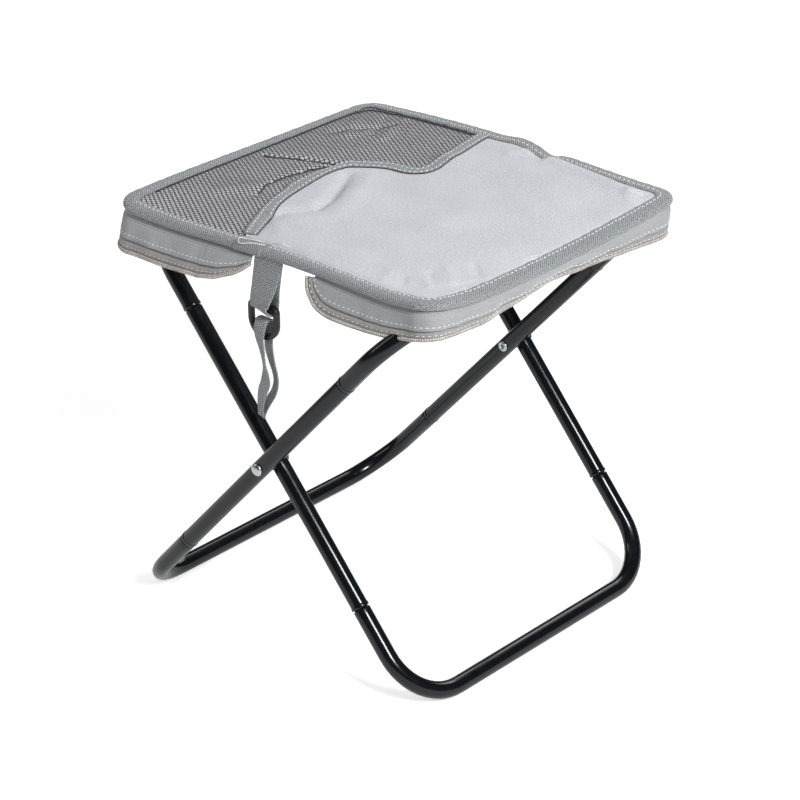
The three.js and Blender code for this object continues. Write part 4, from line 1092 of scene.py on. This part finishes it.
# The zip tape's section: depth below the binding, and how far out it stands.
zip_section = [
    (13.6, -0.75), (15.0, -0.7), (15.5, 0.3), (16.6, 0.55), (17.0, 0.4), (18.9, 0.4), (19.3, -0.1),
    (20.2, -0.1), (20.4, -0.3), (20.2, -0.6), (17, -0.7), (15.4, -1.0), (13.6, -1.2)]
coil_depth, coil_pitch = 20.7, 1.7
for place, side in walls:
    short = place == "left_front"
    sections = np.stack([along_wall(place, d, o, 42 if short else 420)[0] for d, o in zip_section], 1)
    tape_piece = surface(f"zip_tape_{place}", sections)
    hang(tape_piece, place)
    dressed(tape_piece, zip_tape, "zip_tape", *stands_for(
        place, "zip_front_{0}", "zip_rear_{0}", "zip_end_{0}", "zip_corner_{0}_front",
        "zip_corner_{0}_rear"))
    centre, ways = along_wall(place, coil_depth, 0.0, 240 if short else 2400)
    long = length_of(centre)
    turns = np.linspace(0, long, len(centre)) * math.pi / coil_pitch
    swell = 1.0 + 0.26 * np.abs(np.sin(turns)) ** 0.7
    forward = heading(centre)
    side_way = unit(np.cross(forward, up_way))
    wide, tall = oval(10, 1.1, 1.25)
    coil = carried(f"zip_coil_{place}", centre, side_way, np.cross(side_way, forward),
                   wide * swell[:, None], tall * swell[:, None])
    hang(coil, place)
    dressed(coil, zip_teeth, "zip_tape")
print("zips made")

# %% [markdown]
# Every seam shows a row of pale stitches. A sewing thread runs on top of the cloth for one
# stitch and then dives to the back, so it is one long thin cord whose height goes up and down.
# What lies below the cloth doesn't show, and the eye reads a dashed line.

# %% Stitches
def seam(name, path, up, finish, stitch=2.9, gap=1.3, thick=0.28, rise=0.1):
    """A thread along path, in millimetres. up is the way out of the cloth, one for all places or
    one for each."""
    long = length_of(path)
    count = int(long / (stitch + gap) * 9)
    both = evenly(np.hstack([path, np.broadcast_to(up, path.shape)]), count)
    centre, out = both[:, :3], unit(both[:, 3:])
    phase = (np.linspace(0, long, count) % (stitch + gap)) / stitch
    top = np.where(phase < 1, np.sqrt(np.abs(np.sin(np.clip(phase, 0, 1) * math.pi))), 0)
    height = -0.9 + (0.9 + rise) * top
    side_way = unit(np.cross(heading(centre), out))
    piece = carried(name, centre + out * height[:, None], side_way, out, *oval(6, thick, thick))
    piece.data.materials.append(finish)
    return piece


for place, side in sides_of_seat:
    on_band = bound_edges[place] * 1.0
    # Along the far left end the thread is pulled into the tape.
    if side < 0:
        on_band[:, 2] -= 0.45 * smoothstep((-134 - on_band[:, 0]) / 4)
    piece = seam(f"binding_stitches_{place}", on_band, up_way, thread, thick=0.32, rise=0.22)
    fold_with(piece)
for place, side in walls:
    for depth, label in ((11.2, "upper"), (17.6, "lower")):
        on_cloth = depth < cloth_depth
        points, ways, run = on_wall(place, depth, 0.5 if on_cloth else 0.42, cloth=on_cloth)
        level_ways = np.column_stack([ways, 0 * run])
        piece = seam(f"gusset_stitches_{label}_{place}", points, level_ways, thread,
                     thick=0.26 if label == "upper" else 0.2)
        hang(piece, place)
for label, across in (("outer", 1.2), ("inner", 6.9)):
    piece = seam(f"pocket_stitches_{label}", beside_tape(across, 312.2), up_way, thread)
    fold_with(piece)
print("stitches made")

# %% [markdown]
# A carrying strap hangs from the front of the binding. A doubled tab of webbing holds a D-shaped
# ring, and a long loop of narrower webbing hangs from the ring. Webbing is a flat band, so each
# piece is a flat section carried along the line that the band takes.

# %% The tab of webbing
strap_x, tab_top, tab_long = -2.5, np.array([-2.5, -124.1, 303.586]), 31.8
tab_lean, strap_raise = math.radians(10.7), 2.6
ring_at = tab_top + np.array([0, -math.sin(tab_lean), -math.cos(tab_lean)]) * tab_long


def band(name, centre, side_way, width, thick, closed=False):
    """A flat band: centre is its line, side_way the direction of its width at each place. The
    edges are rounded and the band is a little thicker along its middle."""
    forward = heading(centre, closed)
    side_way = unit(side_way - forward * (side_way * forward).sum(1)[:, None])
    width = np.broadcast_to(width, len(centre))[:, None]
    over_share = np.array([-0.5, -0.49, -0.45, -0.25, 0, 0.25, 0.45, 0.49])
    over_rise = np.array([0, 0.3, 0.46, 0.5, 0.5, 0.5, 0.46, 0.3])
    share = np.r_[over_share, -over_share]
    rise = np.r_[over_rise, -over_rise]
    return carried(name, centre, side_way, np.cross(side_way, forward), share * width,
                   rise * thick, wrap=closed)


def tab_place(across, down):
    """A place on the tab: across is towards the seat and down is along the tab."""
    across, down = np.asarray(across), np.asarray(down)
    y = across * math.cos(tab_lean) - down * math.sin(tab_lean)
    z = -across * math.sin(tab_lean) - down * math.cos(tab_lean)
    return np.stack([0 * y, y, z], -1)


bend = np.linspace(math.radians(200), math.radians(-20), 23)[1:-1]
around = 3.85
front_down = np.array([-3.0, 0, 4, 9, 14, 19, 23, 26.5])
front_across = np.array([-0.75, -0.75, -0.8, -1.0, -1.3, -1.9, -2.7, -3.45])
line_across = np.r_[front_across, np.cos(bend) * around, -front_across[::-1]]
line_down = np.r_[front_down, tab_long + np.sin(bend) * around, front_down[::-1]]
line = evenly(tab_place(line_across, line_down), 160)
fall = np.clip(-line[:, 2] / tab_long, 0, 1.1)
back = np.linspace(0, 1, len(line)) > 0.5
shift = np.where(back, 2.4, -1.2) * fall ** 1.5
shift = np.convolve(np.pad(shift, 12, mode="edge"), np.ones(25) / 25, mode="valid")
twist = 0.30 * fall ** 1.2
line = line + tab_top + np.stack([shift, 0 * shift, 0 * shift], -1)
line[:, 2] += strap_raise
tab_side = np.stack([np.cos(twist), -np.sin(twist) * 0.6, -0.06 * fall], -1)
tab_wide = np.interp(
    np.linspace(0, 1, len(line)),
    [0, 0.22, 0.40, 0.46, 0.54, 0.60, 0.8, 1], [26, 25, 20.5, 18.6, 18.6, 20, 24, 25])
tab_piece = band("strap_tab_webbing", line, tab_side, tab_wide, 1.3)
dressed(tab_piece, webbing_cloth, "webbing", "strap_tab", body="tab")
print("tab made, its lower end at", ring_at.round(1))

# %% [markdown]
# The ring is moulded nylon. Its line is a straight bar in the tab's fold, two rounded corners,
# two straight sides and half a circle. Its section is between a circle and a square: the cubes
# of both half widths add up to the same sum all round.

# %% The ring
# Half its width, its lowest place and the radius of its upper corners.
wide, low_z, round_by = 12.0, -22.8, 2.6
arc = np.linspace(math.pi, 2 * math.pi, 40)
corner = np.linspace(0, math.pi / 2, 9)
bar = wide - round_by
outline_d = np.vstack([
    np.stack([np.linspace(-bar, bar, 24), np.zeros(24)], -1),
    np.stack([bar + round_by * np.sin(corner), -round_by + round_by * np.cos(corner)], -1)[1:],
    np.stack([np.full(6, wide), np.linspace(-round_by, low_z + wide, 7)[1:]], -1),
    np.stack([wide * np.cos(arc[::-1]), low_z + wide + wide * np.sin(arc[::-1])], -1)[1:],
    np.stack([np.full(6, -wide), np.linspace(low_z + wide, -round_by, 7)[1:]], -1),
    np.stack([-bar - round_by * np.cos(corner), -round_by + round_by * np.sin(corner)], -1)[1:-1]])
centre = evenly(np.vstack([outline_d, outline_d[:1]]), 161)[:-1]
centre = ring_at + np.stack([centre[:, 0], 0 * centre[:, 0], centre[:, 1]], -1)
centre[:, 2] += strap_raise
spin = circle(20)
box_round = 2.2 / (np.abs(np.cos(spin)) ** 3 + np.abs(np.sin(spin)) ** 3) ** (1 / 3)
d_ring = carried("moulded_d_ring", centre, y_axis, np.cross(heading(centre, True), y_axis),
                 *oval(20, box_round, box_round), wrap=True)
dressed(d_ring, nylon, "black_plastic", "d_ring", body="ring")
print("ring made,", round(float(length_of(centre))), "mm round")

# %% [markdown]
# The loop goes through the ring and hangs in a slack S. Its line has a row of x, y, z and turn in
# degrees for each place, and the turn says which way its width points.

# %% The hanging loop
loop_rows = np.array([
    (0.8, 0.0, 16.4, 42), (0.4, -2.8, 15.2, 43), (-0.4, -4.4, 9.5, 45), (-0.6, -4.5, 3, 47),
    (-0.4, -4.0, -1, 52), (0.5, -3.5, -6.5, 63), (2.4, -3.5, -16.5, 74), (3.6, -3.5, -22.9, 60),
    (3.1, -3.5, -30.8, 37), (0.7, -3.5, -37, 39), (-2.3, -3.0, -46.5, 56), (-3.9, -1.7, -54, 60),
    (-4.9, 0, -60.2, 61), (-4.0, 1.7, -56, 64), (-1.6, 3.1, -49.6, 63), (3.6, 3.5, -41, 66),
    (6.4, 3.5, -32.3, 66), (5.6, 3.5, -24.9, 62), (3.3, 3.5, -18.8, 57), (0.4, 3.6, -9.1, 47),
    (-0.2, 3.9, -2.4, 46), (0.0, 4.5, 3, 44), (0.4, 4.4, 9.5, 43), (0.7, 2.8, 15.2, 42)])
loop_at = np.array([strap_x, -130.0, 249.54])
loop_path = spline(np.vstack([loop_rows, loop_rows[:1]]), 361)[:-1]
centre = loop_path[:, :3] + loop_at
turn_by = np.radians(loop_path[:, 3])[:, None]
loop_side = np.cos(turn_by) * [0.739, 0.673, 0] - np.sin(turn_by) * [-0.673, 0.739, 0]
loop_wide = 8.2 + 3.0 * smoothstep(loop_path[:, 2] / 10)
loop_piece = band("hanging_loop_webbing", centre, loop_side, loop_wide, 1.2, closed=True)
dressed(loop_piece, webbing_cloth, "webbing", "strap_loop", body="loop")
print("loop made,", round(float(length_of(centre))), "mm round")

# %% [markdown]
# The zip's slider is a small casting: a plate over the coil and one under it, joined at the
# closed end, with a hook for the puller. The puller is a flat bar with a window at its top. The
# shapes are outlines with rounded corners that are pushed along the third direction.

# %% Slider and puller
def plate(name, outline_points, hole_points, thick, place, round_edge=0.25):
    """A flat casting in its own plane: place turns plane points and a height into millimetres.
    Three rings at each face round its edge, outside and round the hole."""
    edge_steps = [(0.5, 0.0), (0.42, 0.6), (0.25, 1.0), (-0.25, 1.0), (-0.42, 0.6), (-0.5, 0.0)]
    rings = []
    for points, way, steps in ((outline_points, -1, edge_steps), (hole_points, 1, edge_steps[::-1])):
        line = evenly(np.vstack([points, points[:1]]), 65)[:-1]
        away = way * unit(line - line.mean(0)) * round_edge
        rings += [place(line + away * (1 - grow), height * thick) for height, grow in steps]
    return surface(name, np.stack(rings, 1), wrap_along=True)


def rounded_box(half_wide, half_tall, radius, middle):
    """The outline of a rectangle whose corners are quarter circles."""
    parts = []
    for number, (right, top) in enumerate(((1, 1), (-1, 1), (-1, -1), (1, -1))):
        angle = np.linspace(0, math.pi / 2, 7) + number * math.pi / 2
        x = right * (half_wide - radius) + radius * np.cos(angle)
        y = top * (half_tall - radius) + radius * np.sin(angle)
        parts.append(np.stack([x, y], -1))
    return np.vstack(parts) + middle


coil_points = along_wall("left", coil_depth, 0.0, 2400)[0]
slider_x, solid_zip_z = -73.5, 283.75
behind = coil_points[coil_points[:, 1] > 0]
zip_at = behind[np.argmin(np.abs(behind[:, 0] - slider_x))]
channel = np.array([
    (-3.0, -2.9), (3.4, -2.9), (3.9, -2.4), (3.9, 1.6), (3.5, 2.1), (2.3, 2.1), (1.95, 1.7),
    (1.95, -1.5), (1.6, -1.85), (-1.6, -1.85), (-1.95, -1.5), (-1.95, 1.7), (-2.2, 2.0), (-2.7, 2.0),
    (-3.1, 1.6), (-3.3, -2.5)])
stations = np.array([
    (-5.6, 0.86), (-5.3, 0.95), (-4.8, 1.0), (-1, 1.02), (3.0, 1.1), (4.8, 1.12), (5.3, 1.06),
    (5.6, 0.96)])
slider_body = carried("slider_body", zip_at + stations[:, :1] * x_axis, y_axis, up_way,
                      channel[None, :, 0] * stations[:, 1:], channel[None, :, 1] * stations[:, 1:],
                      smooth=False)
hook_line = spline(np.array([(3.0, 1.2), (4.6, 2.0), (6.2, 2.1), (7.1, 1.2), (7.2, -0.4), (6.9, -1.6)]), 30)
hook_path = zip_at + hook_line[:, :1] * y_axis + hook_line[:, 1:] * up_way
hook_piece = carried("slider_hook", hook_path, x_axis, np.cross(heading(hook_path), x_axis),
                     *oval(20, 1.5, 0.55))
puller_low, puller_high = (np.array(v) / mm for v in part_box("zip_puller"))
puller_top = puller_high[2] + zip_at[2] - solid_zip_z
puller_y = (puller_low[1] + puller_high[1]) / 2


def upright(points, height):
    """Places of the puller's outline, which hangs in a plane across the zip."""
    across, up = points.T
    return np.column_stack([slider_x + across, 0 * across + puller_y + height, puller_top + up])


puller_piece = plate("puller_bar", rounded_box(3.0, 10.0, 1.6, (0, -10.0)),
                     rounded_box(1.8, 2.2, 0.9, (0, -2.9)), 1.2, upright)
dressed(slider_body, zinc, "zinc", "zip_slider", body="slider")
dressed(hook_piece, zinc, "zinc", body="slider")
dressed(puller_piece, zinc, "zinc", "zip_puller", body="puller")
print("slider at", zip_at.round(1), "puller at y", round(float(puller_y), 1))

# %% [markdown]
# The studio. The floor is a wide pale sheet that catches the stool's soft shadow. Two soft
# lamps hang above it, one on each side of the camera, and a third stands behind. The room
# itself gives an even white light. It is white where the camera looks past the floor and dark
# where the glossy paint mirrors it, so the tubes stay black with narrow highlights.

# %% Floor, lamps and room
floor_mesh = bpy.data.meshes.new("floor")
floor_mesh.from_pydata([(-9, -9, 0), (9, -9, 0), (9, 9, 0), (-9, 9, 0)], [], [(0, 1, 2, 3)])
floor = bpy.data.objects.new("floor", floor_mesh)
bpy.context.scene.collection.objects.link(floor)
floor_look, floor_tree, floor_shader = begin("white_floor", Roughness=0.95, Base_Color=(0.92, 0.92, 0.92, 1))
floor_shader.inputs["Specular IOR Level"].default_value = 0.0
floor_shader.inputs["Emission Color"].default_value = (1, 1, 1, 1)
seen = node(floor_tree, "ShaderNodeLightPath")
glow = node(floor_tree, "ShaderNodeMath", {0: seen.outputs["Is Camera Ray"], 1: 0.42}, operation="MULTIPLY")
floor_tree.links.new(glow.outputs[0], floor_shader.inputs["Emission Strength"])
floor_mesh.materials.append(floor_look)


def lamp(name, place, target, width, height, watts):
    """A soft rectangular lamp that faces its target."""
    light = bpy.data.lights.new(name, "AREA")
    light.shape, light.size, light.size_y, light.energy = "RECTANGLE", width, height, watts
    made = bpy.data.objects.new(name, light)
    made.location = place
    made.rotation_euler = (Vector(target) - Vector(place)).to_track_quat("-Z", "Y").to_euler()
    bpy.context.scene.collection.objects.link(made)
    return made


middle = (0, 0, 0.2)
lamp("key_lamp", (1.75, -0.4, 1.55), middle, 0.6, 0.6, 49)
lamp("left_lamp", (-1.5, -1.2, 1.5), middle, 0.6, 1.4, 7)
lamp("back_lamp", (-0.6, 1.9, 1.6), middle, 1.6, 0.8, 16)

world = bpy.data.worlds.new("studio")
bpy.context.scene.world = world
world.use_nodes = True
room = world.node_tree.nodes["Background"]
room.inputs["Color"].default_value = (1, 1, 1, 1)
ray = node(world.node_tree, "ShaderNodeLightPath")
mirrored = node(world.node_tree, "ShaderNodeMix", {
    0: ray.outputs["Is Glossy Ray"], 2: 0.38, 3: 0.05}, data_type="FLOAT")
strength = node(world.node_tree, "ShaderNodeMix", {
    0: ray.outputs["Is Camera Ray"], 2: mirrored.outputs[0], 3: 1.05}, data_type="FLOAT")
world.node_tree.links.new(strength.outputs[0], room.inputs["Strength"])

settings = bpy.context.scene.view_settings
settings.view_transform = "Standard"
